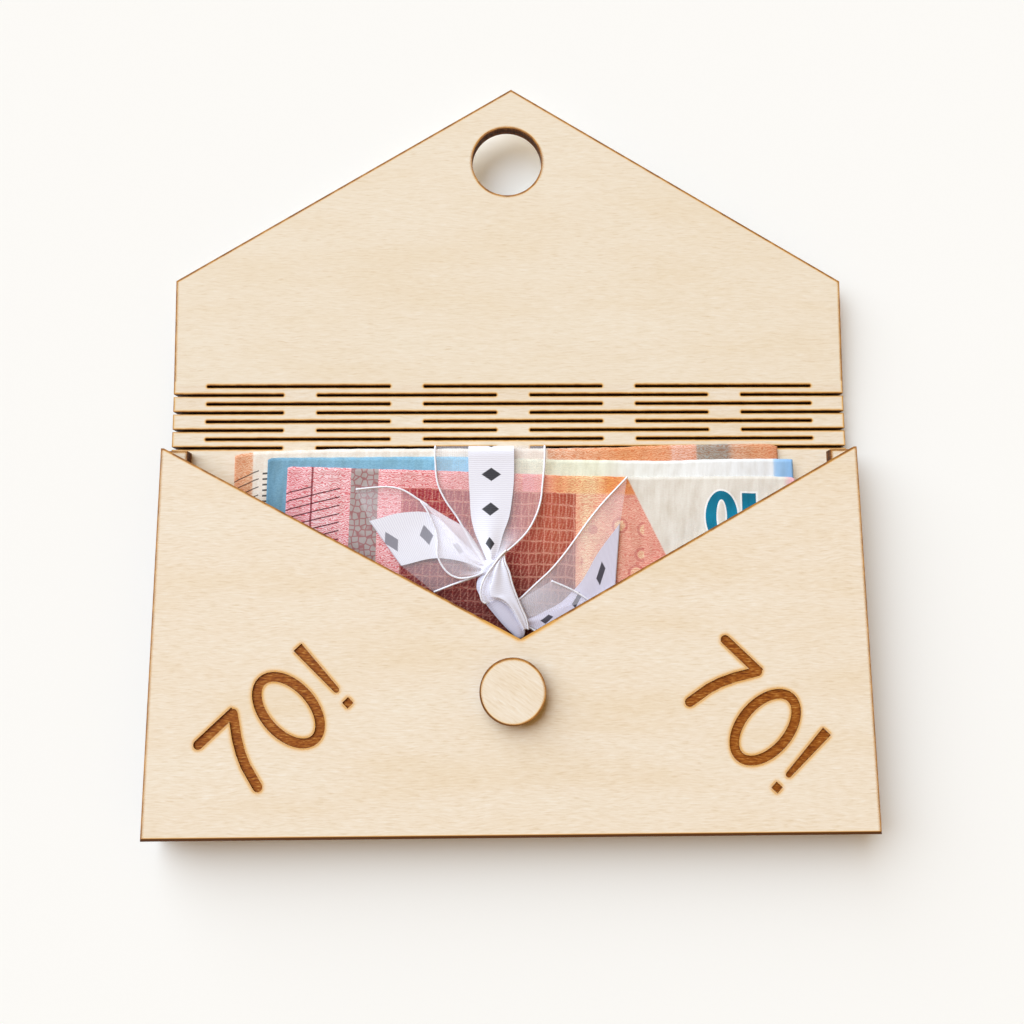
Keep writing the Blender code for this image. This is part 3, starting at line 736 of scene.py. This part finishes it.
material, tree, place, u_mm, v_mm, colour = begin_print(
    "red_printed_paper", 2, (0.0, "#FAC0C6"), (9.0, "#FFDEE0"), (16.3, "#FDD2D4"), (26.0, "#FDD0D0"),
    (45.0, "#F6B8B2"), (62.0, "#F1AE9A"), (74.0, "#F5BF9C"), (76.0, "#F9DDB4"), (79.0, "#F5C8A4"),
    (86.0, "#F2B8A0"), (100.0, "#F0B09C"))
length_share = calc(tree, "DIVIDE", u_mm, 130.0)
top_tone = tones(tree, length_share, (0.48, "#F3B0AC"), (0.53, "#F4B07C"), (0.58, "#F8D29A"),
                 (0.60, "#F9D9A4"), (0.63, "#F2A862"), (0.68, "#EFA267"))
top_right = calc(tree, "GREATER_THAN", u_mm, 60.0)
colour = overprint(tree, colour, top_tone, [remap(tree, v_mm, 5.0, 4.2), top_right])
rings = add_node(tree, "ShaderNodeTexVoronoi", {"Vector": place, "Scale": 1 / 5.5, "Randomness": 0.7})
rings = rings.outputs["Distance"]
peach = calc(tree, "COMPARE", u_mm, 83.0, 8.0)
below_top = calc(tree, "GREATER_THAN", v_mm, 4.6)
colour = overprint(tree, colour, "#F9DDB0", [calc(tree, "LESS_THAN", rings, 0.24), peach, below_top], 0.7)
colour = overprint(tree, colour, "#D07F74", [calc(tree, "COMPARE", rings, 0.33, 0.05), peach, below_top], 0.6)
foil = calc(tree, "COMPARE", u_mm, 19.7, 3.5)
colour = overprint(tree, colour, foil_strip(tree, place), [foil])
panel_span = calc(tree, "COMPARE", u_mm, 51.4, 22.2)
deep_red = deep_red_panel(tree, place, length_share, v_mm)
colour = overprint(tree, colour, deep_red, [panel_span, below_top], 0.95)
slanted = calc(tree, "MULTIPLY_ADD", v_mm, -0.49, u_mm)
pale = remap(tree, slanted, 86.5, 86.9)
# Partly painted shade: the pale end's cream is the paper's, drawn a little darker as if shaded
pale_tone_with_shade = mix(tree, remap(tree, u_mm, 127.0, 129.0), "#EAE3D6", "#F3BCC2")
colour = overprint(tree, colour, pale_tone_with_shade, [pale])
colour = overprint(tree, colour, "#8E3340", [calc(tree, "COMPARE", u_mm, hatch_column, 0.25)], 0.85)
colour = overprint(tree, colour, "#5A1A26", [hatch_lines(tree, u_mm, v_mm, 0.2625, 6.6, 13.6)], 0.92)
colour = overprint(tree, colour, "#FBF9F5", [plain_numerals(tree, place, u_mm, v_mm, 0.45)])
sheen = remap(tree, calc(tree, "PINGPONG", v_mm, 5.0), 0.0, 5.0)
teal = mix(tree, sheen, "#0F86A6", "#11718C")
colour = overprint(tree, colour, teal, [plain_numerals(tree, place, u_mm, v_mm, 0.0)])
plain = calc(tree, "ADD", calc(tree, "MULTIPLY_ADD", top_right, 0.35, foil), pale, clamp=True)
plain = calc(tree, "MULTIPLY", plain, 0.93)
red_paper = end_print(material, place, colour, 0.55, "#E07A80", 0.85, plain)
front_top_edge = [(-57.0, 42.8), (-56.2, 43.1), (-50.9, 43.0), (-41.1, 42.7), (-33.9, 42.4), (-19.4, 42.0),
                  (8.7, 40.8), (14.0, 40.5), (25.0, 40.3), (30.3, 40.1), (43.1, 40.2), (66.6, 40.2),
                  (72.0, 40.0), (73.0, 39.5)]
front_note = lay_note("front_banknote", 2, 8.0, front_top_edge, -1.2, 5.014, 3.1, red_paper)
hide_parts("note_front")


# THE RIBBON ROUND THE NOTES
# A 28 mm organza ribbon with a satin stripe woven down its middle and a corded selvedge on each side.
# It goes once round the notes and is drawn together at the knot.
ribbon_width = 28.0
cloth_half = 0.05
cord_radius = 0.27
cord_sides = 6
stripe_shares = (0.29, 0.42, 0.29)
ribbon_columns = (9, 11, 9)
column_shares = np.linspace(0.0, 1.0, sum(ribbon_columns) - 2)
drawn_threads = 0.45
satin_ribs = 0.5
whole = (0.0, 1.0)


def through(places, count, marks=None):
    """Points on a smooth curve through places: cubic Hermite pieces, each tangent from its neighbours."""
    places = np.asarray(places, float)
    if marks is None:
        marks = np.concatenate([[0.0], np.cumsum(np.linalg.norm(np.diff(places, axis=0), axis=1))])
    at = np.linspace(0.0, marks[-1], count)
    tangents = np.gradient(places, marks, axis=0)
    i = np.clip(np.searchsorted(marks, at, side="right") - 1, 0, len(places) - 2)
    gap = (marks[i + 1] - marks[i])[:, None]
    t = (at - marks[i])[:, None] / gap
    return ((2 * t ** 3 - 3 * t ** 2 + 1) * places[i] + (t ** 3 - 2 * t ** 2 + t) * gap * tangents[i]
            + (3 * t ** 2 - 2 * t ** 3) * places[i + 1] + (t ** 3 - t ** 2) * gap * tangents[i + 1])


def sheer_cloth(name, veil):
    """Organza: fine stiff threads that let most of the light through, seen as a white veil.

    The threads are 0.12 mm apart in the real cloth, and drawn 0.45 mm apart so that they show. They
    pass light on, so the cloth's shadow is fainter than its veil.
    """
    material, tree, shader = start_material(name)
    place = add_node(tree, "ShaderNodeUVMap", uv_map="cloth")
    weave = 0.0
    for direction in ("X", "Y"):
        weave = calc(tree, "ADD", waves(tree, place, drawn_threads / ribbon_width, direction, 0.6), weave)
    gather = add_node(tree, "ShaderNodeAttribute", attribute_name="gather").outputs["Fac"]
    cover = calc(tree, "MULTIPLY_ADD", gather, 0.55, veil)
    cover = calc(tree, "MULTIPLY_ADD", weave, 0.04, cover, clamp=True)
    in_shadow = add_node(tree, "ShaderNodeLightPath").outputs["Is Shadow Ray"]
    cover = calc(tree, "MULTIPLY", cover, calc(tree, "MULTIPLY_ADD", in_shadow, -0.75, 1.0))
    feed(tree, shader, {"Alpha": cover, "Base Color": "#F8F3F8", "Roughness": 0.45, "Specular IOR Level": 0.3,
                        "Sheen Weight": 0.2})
    return material


def lozenges(tree, place):
    """A mask of lozenges down the stripe's middle, 9 mm apart, 5 mm wide and 3.4 mm tall."""
    across, along, _ = add_node(tree, "ShaderNodeSeparateXYZ", {0: place}).outputs
    beside = calc(tree, "ABSOLUTE", calc(tree, "SUBTRACT", across, 0.5))
    beside = calc(tree, "MULTIPLY", beside, ribbon_width / 2.5)
    along = calc(tree, "MULTIPLY", calc(tree, "PINGPONG", along, 4.5 / ribbon_width), ribbon_width / 1.7)
    return remap(tree, calc(tree, "ADD", beside, along), 1.08, 0.96)


def satin_cloth(name, dark="#E4E0EA", light="#F4F2F8", ink=None, ribs=0.2):
    """Satin: long smooth weft floats, so a soft sheen. Its crosswise ribs stand out by a share, ribs."""
    material, tree, shader = start_material(name)
    place = add_node(tree, "ShaderNodeUVMap", uv_map="cloth")
    rib = waves(tree, place, satin_ribs / ribbon_width, "Y", 2.0)
    colour = tones(tree, rib, (0.1, dark), (0.8, light))
    if ink:
        colour = mix(tree, lozenges(tree, place), colour, ink)
    feed(tree, shader, {"Base Color": colour, "Normal": relief(tree, rib, 0.1, ribs), "Roughness": 0.42,
                        "Sheen Weight": 0.25})
    return material


selvedge_cord, tree, shader = start_material("white_selvedge_cord")
twist = noise(tree, add_node(tree, "ShaderNodeTexCoord").outputs["Object"], 0.5 * MM)
feed(tree, shader, {"Base Color": tones(tree, twist, (0.35, "#E9E5EE"), (0.65, "#FBFAFD")), "Roughness": 0.5})
organza = sheer_cloth("white_organza", 0.065)
front_satin = satin_cloth("white_printed_satin", ink="#2B2930")
back_satin = satin_cloth("white_satin_wrong_side", ink="#8F8C96")
# Painted shade: the printed white satin drawn lilac grey, for the right tail
painted_shade_satin = satin_cloth("printed_satin_painted_shade", dark="#D0C9DA", light="#E2DDEA", ink="#46424E")
plain_satin = satin_cloth("white_satin", dark="#E9E8F6", light="#F1F0FC", ribs=0.05)
# Painted shade: the plain white satin drawn lilac grey, for the bundle under the upper fold
shaded_plain_satin = satin_cloth("plain_satin_painted_shade", dark="#C7C3D3", light="#D1CDDE", ribs=0.05)


def selvedge(line, up, first):
    """A tube of cord_radius carried along a line of points: a circle at each, and the faces round them."""
    turn = np.linspace(0.0, math.tau, cord_sides, endpoint=False)
    side = np.cross(np.gradient(line, axis=0), up)
    side /= np.maximum(np.linalg.norm(side, axis=1, keepdims=True), 1e-9)
    ring = line[:, None] + cord_radius * (np.cos(turn)[None, :, None] * side[:, None]
                                          + np.sin(turn)[None, :, None] * up[:, None])
    last = first + (len(line) - 1) * cord_sides
    tube = lattice_faces(len(line), cord_sides, ring=True, first=first)[:, ::-1].tolist()
    tube += [list(range(first, first + cord_sides)), list(range(last + cord_sides - 1, last - 1, -1))]
    return ring.reshape(-1, 3), tube


def ribbon(name, edges, gather, pleats, nodes=(), satin=None, cords=(whole, whole)):
    """A length of ribbon between four guide curves: selvedge, two edges of the stripe, selvedge.

    Between two guides the points are mixed evenly. pleats is a height added to the whole grid, and
    gather is how closely the threads are drawn together. satin is the stripe's material. Each selvedge
    is a tube along its guide, over a span of shares of its length.
    """
    shares = [np.linspace(0.0, 1.0, count) for count in ribbon_columns]
    pieces = [edges[i][:, None] * (1 - share[None, :, None]) + edges[i + 1][:, None] * share[None, :, None]
              for i, share in enumerate(shares)]
    grid = np.concatenate([pieces[0][:, :-1], pieces[1][:, :-1], pieces[2]], axis=1)
    rows, columns = grid.shape[:2]
    grid[..., 2] += pleats
    points, faces, normal = cloth_solid(grid, cloth_half)
    starts = np.cumsum((0.0,) + stripe_shares)
    width_share = np.concatenate([starts[i] + share * stripe_shares[i] for i, share in enumerate(shares)])
    width_share = np.delete(width_share, [ribbon_columns[0], ribbon_columns[0] + ribbon_columns[1]])
    steps = np.linalg.norm(np.diff(grid[:, columns // 2], axis=0), axis=1)
    run = np.concatenate([[0.0], np.cumsum(steps)]) / ribbon_width
    uv = np.tile(np.stack(np.broadcast_arrays(width_share[None, :], run[:, None]), -1).reshape(-1, 2), (2, 1))
    drawn = np.tile(np.broadcast_to(gather, (rows, columns)).ravel(), 2)
    band = np.zeros(columns - 1, int)
    band[ribbon_columns[0] - 1:ribbon_columns[0] + ribbon_columns[1] - 2] = 1 if satin else 0
    kinds = np.zeros(len(faces), int)
    kinds[:2 * (rows - 1) * (columns - 1)] = np.tile(band, 2 * (rows - 1))
    kinds, faces = kinds.tolist(), faces.tolist()
    for column, span in zip((0, columns - 1), cords):
        if span:
            part = slice(round(span[0] * (rows - 1)), round(span[1] * (rows - 1)) + 1)
            ring, tube = selvedge(grid[part, column], normal[part, column], len(points))
            points = np.concatenate([points, ring])
            faces += tube
            kinds += [2] * len(tube)
    extra = len(points) - len(uv)
    piece = add_piece(name, points, faces, [organza, satin or organza, selvedge_cord], kinds=kinds,
                      uv=np.concatenate([uv, np.zeros((extra, 2))]))
    layer = piece.data.attributes.new("gather", "FLOAT", "POINT")
    layer.data.foreach_set("value", np.concatenate([drawn, np.zeros(extra)]).astype(np.float32))
    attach(piece, "pocket")
    if nodes:
        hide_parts(*nodes)
    return piece


# Each station: y, z, and x of the selvedge, the stripe's two edges and the other selvedge
wrap_stations = np.array([
    (14.0, 7.2, -5.8, -5.4, -5.0, -4.8), (17.2, 7.5, -6.3, -5.4, -4.8, -4.6),
    (19.5, 7.3, -7.8, -6.5, -3.9, -3.0), (22.5, 6.9, -9.7, -7.8, -2.9, 0.6),
    (25.5, 6.5, -11.3, -9.1, -2.1, 3.6), (29.3, 6.1, -13.4, -10.1, -0.7, 5.9),
    (34.5, 5.8, -16.9, -10.5, 0.2, 7.6), (38.0, 5.7, -18.5, -10.7, 0.6, 8.0),
    (44.0, 5.62, -19.3, -10.9, 0.8, 8.6), (47.2, 5.55, -19.4, -10.9, 0.8, 8.7),
    (48.1, 5.25, -19.4, -10.9, 0.8, 8.7), (48.45, 4.5, -19.4, -10.9, 0.8, 8.7),
    (48.1, 3.72, -19.4, -10.9, 0.8, 8.7), (47.0, 3.45, -19.3, -11.0, 0.8, 8.7),
    (30.0, 3.43, -19.3, -11.1, 0.7, 8.7), (0.0, 3.43, -19.3, -11.1, 0.7, 8.7),
    (-27.5, 3.43, -19.3, -11.1, 0.7, 8.7), (-29.3, 3.6, -19.3, -11.1, 0.7, 8.7),
    (-29.8, 4.5, -19.3, -11.1, 0.7, 8.7), (-29.3, 5.35, -19.2, -11.1, 0.7, 8.6),
    (-27.5, 5.55, -19.0, -11.0, 0.6, 8.4), (-18.0, 5.6, -15.5, -9.0, 0.4, 6.8),
    (-9.0, 5.65, -6.6, -3.4, 3.2, 6.4), (-2.0, 5.8, 1.0, 1.5, 2.6, 3.1), (2.0, 6.0, -0.4, 0.0, 0.9, 1.3),
    (7.0, 6.3, -4.2, -3.5, -2.1, -1.4), (12.0, 6.6, -6.6, -5.8, -4.4, -3.6)])
wrap_count = 150
marks = np.concatenate([[0.0], np.cumsum(np.linalg.norm(np.diff(wrap_stations[:, :2], axis=0), axis=1))])
wrap_path = through(wrap_stations, wrap_count, marks)
wrap_edges = [np.stack([wrap_path[:, 2 + i], wrap_path[:, 0], wrap_path[:, 1]], -1) for i in range(4)]
narrow = np.clip(1.0 - (wrap_path[:, 5] - wrap_path[:, 2]) / ribbon_width, 0.0, 1.0)
front_side = np.clip((wrap_path[:, 1] - 5.0) / 0.6, 0.0, 1.0)
wrap_pleats = np.outer(0.42 * narrow * front_side, np.sin(column_shares * 5 * math.pi)) \
    + 0.05 * np.outer(np.sin(wrap_path[:, 0] / 4.0) * front_side, np.cos(column_shares * 9.0))
wrap = ribbon("ribbon_round_notes", wrap_edges, np.clip(narrow * 1.2 - 0.45, 0.0, 1.0)[:, None], wrap_pleats,
              ["ribbon_wrap"], front_satin)


# THE BOW'S LEFT TAIL AND LOOP
# The ribbon's left end lies on the notes and is cut at a slant. Nearer the knot its upper selvedge
# turns down and under in a loop, which shows as a second veil over it.
bow_steps = 60


def guides(count, *lines):
    """Guide curves of count points, each through chosen places in mm."""
    return [through(places, count) for places in lines]


def pleat(depths, folds, shift=0.0):
    """Pleats of a depth for each row: a sine of half-waves across the ribbon."""
    return np.outer(depths, np.sin(column_shares * folds * math.pi + shift))


left_edges = guides(
    bow_steps,
    [(-6.0, 15.8, 7.6), (-10.4, 14.2, 7.0), (-13.5, 13.2, 6.6), (-19.4, 11.0, 6.0)],
    [(-6.0, 16.2, 7.6), (-12.0, 18.4, 7.0), (-18.6, 19.4, 6.5), (-27.7, 17.6, 5.95)],
    [(-5.9, 16.8, 7.6), (-13.0, 24.2, 7.1), (-21.2, 30.9, 6.6), (-27.1, 31.0, 6.3), (-35.8, 28.9, 5.95)],
    [(-5.9, 17.3, 7.6), (-8.9, 22.6, 7.3), (-12.3, 27.2, 7.1), (-18.6, 31.2, 6.9), (-23.0, 34.0, 6.7),
     (-28.1, 37.0, 6.3), (-31.3, 37.6, 6.15), (-34.4, 37.5, 6.0), (-39.4, 37.0, 5.9)])
out = np.linspace(0.0, 1.0, bow_steps)
left_pleats = pleat(0.25 * (1 - out) ** 1.5, 6) + pleat(0.12 * out, 3, 0.6)
left_tail = ribbon("bow_left_tail", left_edges, np.clip(0.5 - out * 2.0, 0.0, 1.0)[:, None], left_pleats,
                   ["bow_tail_left"], back_satin, cords=(whole, (0.52, 1.0)))

loop_low, loop_high = guides(
    bow_steps,
    [(-6.0, 16.1, 7.8), (-10.4, 14.5, 7.7), (-12.9, 14.3, 7.6), (-15.4, 15.3, 7.5), (-17.3, 17.4, 7.4),
     (-18.4, 19.8, 7.35), (-18.5, 23.9, 7.3), (-19.0, 26.5, 7.25), (-20.2, 29.3, 7.2), (-21.5, 31.9, 7.1),
     (-23.0, 34.0, 6.9)],
    [(-6.0, 17.3, 8.3), (-8.9, 22.9, 7.9), (-12.3, 27.4, 7.6), (-15.4, 29.2, 7.4), (-18.6, 31.2, 7.2),
     (-23.0, 34.0, 6.9)])
swell = np.sin(out * math.pi)[:, None] * [0.0, 0.0, 1.0]
loop_edges = [loop_low, loop_low * 0.66 + loop_high * 0.34 + 0.8 * swell,
              loop_low * 0.3 + loop_high * 0.7 + swell, loop_high]
doubled = np.clip((column_shares - 0.38) * 6.0, 0.0, 1.0)
loop_gather = np.clip(0.55 * doubled + np.clip(0.45 - 1.6 * out, 0.0, 1.0)[:, None], 0.02, 1.0)
loop = ribbon("bow_loop_fold", loop_edges, loop_gather, pleat(0.22 * (1 - out), 7), ["bow_loop"],
              cords=(whole, None))


# THE BOW'S RIGHT TAIL
# The ribbon's right end runs up along the notch's edge and passes behind the panel. Its white satin
# is painted lilac grey, as painted shade, and near the knot a fold of organza lies on it.
right_edges = guides(
    bow_steps,
    [(-1.0, 6.4, 6.3), (2.3, 9.4, 6.3), (6.3, 13.1, 6.2), (9.6, 16.1, 6.1), (12.7, 19.6, 6.05),
     (16.5, 24.6, 6.0), (19.9, 29.2, 5.95), (22.0, 31.8, 5.9), (29.7, 40.0, 5.85)],
    [(-0.5, 3.6, 6.2), (4.5, 4.4, 6.1), (8.2, 6.1, 6.05), (12.3, 8.3, 6.0), (15.3, 11.1, 5.95),
     (17.1, 13.0, 5.95), (21.8, 20.6, 5.9), (27.6, 28.2, 5.8)],
    [(0.0, 2.6, 6.1), (4.6, 2.4, 6.0), (6.8, 1.5, 5.95), (12.0, 2.8, 5.85), (19.0, 6.5, 5.8),
     (26.0, 12.0, 5.75)],
    [(0.2, 2.4, 6.0), (4.2, 2.1, 5.95), (6.3, 1.0, 5.9), (12.0, -0.4, 5.8), (19.0, 1.2, 5.75),
     (25.6, 5.0, 5.7)])
right_pleats = pleat(0.14 * (1 - out), 5) + pleat(0.07 * out, 3)
right_gather = np.clip(0.48 - out * 1.2, 0.06, 1.0)[:, None]
right_tail = ribbon("bow_right_tail", right_edges, right_gather, right_pleats, ["bow_tail_right"],
                    painted_shade_satin)

fold_steps = 24
fold_outer, fold_inner = guides(fold_steps, [(9.9, 13.6, 6.5), (15.3, 11.2, 6.35), (19.5, 8.6, 6.2)],
                                [(2.2, 9.0, 6.9), (3.0, 7.0, 6.95), (4.2, 4.6, 6.6)])
fold_edges = [fold_outer * (1 - share) + fold_inner * share for share in (0.0, 0.3, 0.65, 1.0)]
right_fold = ribbon("bow_right_fold", fold_edges, 0.1, pleat(np.full(fold_steps, 0.08), 4),
                    cords=(whole, None))


# THE KNOT AND THE GATHERED END
# Where the ribbon is tied it bunches into a hard knot. The bunched satin runs from it down to the
# notch's tip, and a fold of the ribbon, sheer along its left side, lies over both.
bundle_rows, bundle_around = 56, 72


def bunched_satin(name, spine, half_widths, lows, highs, folds, twist, depth, nodes, satin):
    """A closed bundle of folds: an ellipse at each point of the spine, its radius rippled by folds round it.

    The ripple is depth times a sum of two sines, of folds and folds + 2 waves, that turn by twist along it.
    """
    path = through(np.pad(np.array(spine), ((0, 0), (0, 1))), bundle_rows)
    t = np.linspace(0.0, 1.0, bundle_rows)
    marks = np.linspace(0.0, 1.0, len(half_widths))
    wide, low, high = (np.interp(t, marks, values) for values in (half_widths, lows, highs))
    ahead = np.gradient(path, axis=0)
    side = np.stack([-ahead[:, 1], ahead[:, 0], np.zeros(bundle_rows)], -1)
    side /= np.linalg.norm(side, axis=1, keepdims=True)
    angle = np.linspace(0.0, math.tau, bundle_around, endpoint=False)
    ripple = 1.0 + depth * (np.sin(folds * angle[None, :] + twist * t[:, None])
                            + 0.6 * np.sin((folds + 2) * angle[None, :] - 1.4 * twist * t[:, None] + 1.0))
    cap = np.sqrt(np.clip(1 - np.abs(2 * t - 1) ** 8, 0.02, 1.0))
    across = wide[:, None] * cap[:, None] * ripple * np.cos(angle)[None, :]
    height = (high - low)[:, None] / 2 * cap[:, None] * ripple * np.sin(angle)[None, :]
    points = path[:, None] + side[:, None] * across[..., None]
    points[..., 2] = (high + low)[:, None] / 2 + height
    count = bundle_rows * bundle_around
    faces = lattice_faces(bundle_rows, bundle_around, ring=True)[:, ::-1].tolist()
    faces += [list(range(bundle_around)), list(range(count - 1, count - bundle_around - 1, -1))]
    length = np.linalg.norm(np.diff(path, axis=0), axis=1).sum()
    uv = np.stack(np.broadcast_arrays(angle[None, :] / math.tau, t[:, None] * length / ribbon_width), -1)
    piece = add_piece(name, points.reshape(-1, 3), faces, [satin], uv=uv.reshape(-1, 2))
    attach(piece, "pocket")
    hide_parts(*nodes)


bunched_satin("bow_knot_wrap", [(-7.4, 15.6), (-5.6, 16.9), (-3.9, 18.4)], (0.9, 1.7, 2.0, 1.7, 0.9),
              (6.8, 6.5, 6.3, 6.5, 6.8), (8.1, 8.5, 8.7, 8.6, 8.2), 5, 2.2, 0.07, ["bow_knot"], plain_satin)
# The gathered satin is painted lilac grey, as painted shade under the upper fold
gathered_spine = [(-6.2, 15.6), (-5.9, 12.6), (-4.3, 9.4), (-2.4, 6.7), (-0.3, 4.0), (1.3, 1.9), (2.2, -0.6)]
bunched_satin("bow_gathered_satin", gathered_spine, (2.4, 2.9, 2.5, 2.3, 2.2, 2.0, 1.5),
              (6.4, 6.4, 6.4, 6.4, 6.5, 6.6, 6.7), (7.9, 8.0, 8.1, 8.2, 8.2, 8.1, 7.9), 4, 1.4, 0.05,
              ["bow_gathered_end"], shaded_plain_satin)

# The upper fold: its corded selvedge crosses the knot and turns back under along a curved crease,
# and the stretch inside the turn is sheer
upper_steps = 70
upper_edges = guides(
    upper_steps,
    [(-1.3, 21.2, 7.6), (-2.7, 19.8, 8.5), (-4.8, 17.0, 9.0), (-6.7, 14.3, 9.0), (-7.6, 11.9, 8.9),
     (-7.7, 9.8, 8.8), (-7.1, 8.4, 8.6), (-6.0, 8.0, 8.5), (-4.9, 8.8, 8.5), (-3.8, 8.9, 8.5),
     (-2.1, 8.2, 8.5), (-0.5, 6.8, 8.4), (1.0, 4.3, 8.2), (2.7, 1.2, 7.8)],
    [(-1.7, 20.7, 7.6), (-3.5, 18.0, 8.7), (-4.3, 16.0, 9.0), (-4.9, 13.4, 9.1), (-5.5, 11.2, 9.1),
     (-5.1, 9.7, 9.0), (-3.4, 9.4, 8.9), (-1.9, 8.7, 8.8), (-0.3, 7.2, 8.6), (1.3, 4.6, 8.3),
     (2.9, 1.5, 7.9)],
    [(-1.9, 20.6, 7.6), (-2.1, 18.4, 8.4), (-1.2, 15.9, 8.5), (-0.4, 12.8, 8.4), (0.9, 9.3, 8.2),
     (2.1, 6.5, 7.9), (3.2, 3.8, 7.6), (3.7, 1.7, 7.4)],
    [(-1.9, 20.4, 7.5), (-1.7, 18.4, 8.3), (-0.7, 15.9, 8.4), (0.1, 12.8, 8.3), (1.3, 9.4, 8.1),
     (2.5, 6.6, 7.8), (3.6, 3.9, 7.5), (4.0, 1.6, 7.3)])
out = np.linspace(0.0, 1.0, upper_steps)
crown = 0.35 * np.sin(math.pi * np.clip(out * 0.9 + 0.05, 0.0, 1.0)) ** 0.5
upper_pleats = np.outer(crown, np.sin(math.pi * column_shares) ** 0.7) + pleat(0.15 * (1 - 0.6 * out), 6, 0.8)
upper_fold = ribbon("bow_upper_fold", upper_edges, np.where(column_shares > 0.6, 0.9, 0.4), upper_pleats,
                    satin=plain_satin, cords=((0.0, 0.55), whole))


# THE TABLE AND THE LIGHT
# A near-white table. A soft lamp from the upper left throws the shadows down and to the right,
# and a warm, even light from all round fills them. Past the table the camera sees the table's white.
table_half = 1500.0
table_drop = 0.2
table_corners = [(-table_half, -table_half, -table_drop), (table_half, -table_half, -table_drop),
                 (table_half, table_half, -table_drop), (-table_half, table_half, -table_drop)]
table_white, tree, shader = start_material("matt_white_table")
feed(tree, shader, {"Base Color": "#FDFBF6", "Roughness": 0.9, "Specular IOR Level": 0.0})
floor = add_piece("table_top", table_corners, [[0, 1, 2, 3]], [table_white], smooth=False)

warm_fill = (0.34, 0.212, 0.083, 1.0)
world = bpy.data.worlds.new("studio")
bpy.context.scene.world = world
world.use_nodes = True
seen = add_node(world.node_tree, "ShaderNodeLightPath").outputs["Is Camera Ray"]
surroundings = mix(world.node_tree, seen, warm_fill, "#FDFBF7")
feed(world.node_tree, world.node_tree.nodes["Background"], {"Color": surroundings, "Strength": 1.0})

lamp_data = bpy.data.lights.new("soft_lamp", "SUN")
lamp_data.energy = 4.98
lamp_data.angle = math.radians(74.0)
lamp_data.color = (0.713, 0.851, 1.0)
soft_lamp = bpy.data.objects.new("soft_lamp", lamp_data)
soft_lamp.rotation_euler = (math.radians(-36.0), math.radians(-44.0), 0.0)
bpy.context.scene.collection.objects.link(soft_lamp)

bpy.context.scene.view_settings.view_transform = "Standard"
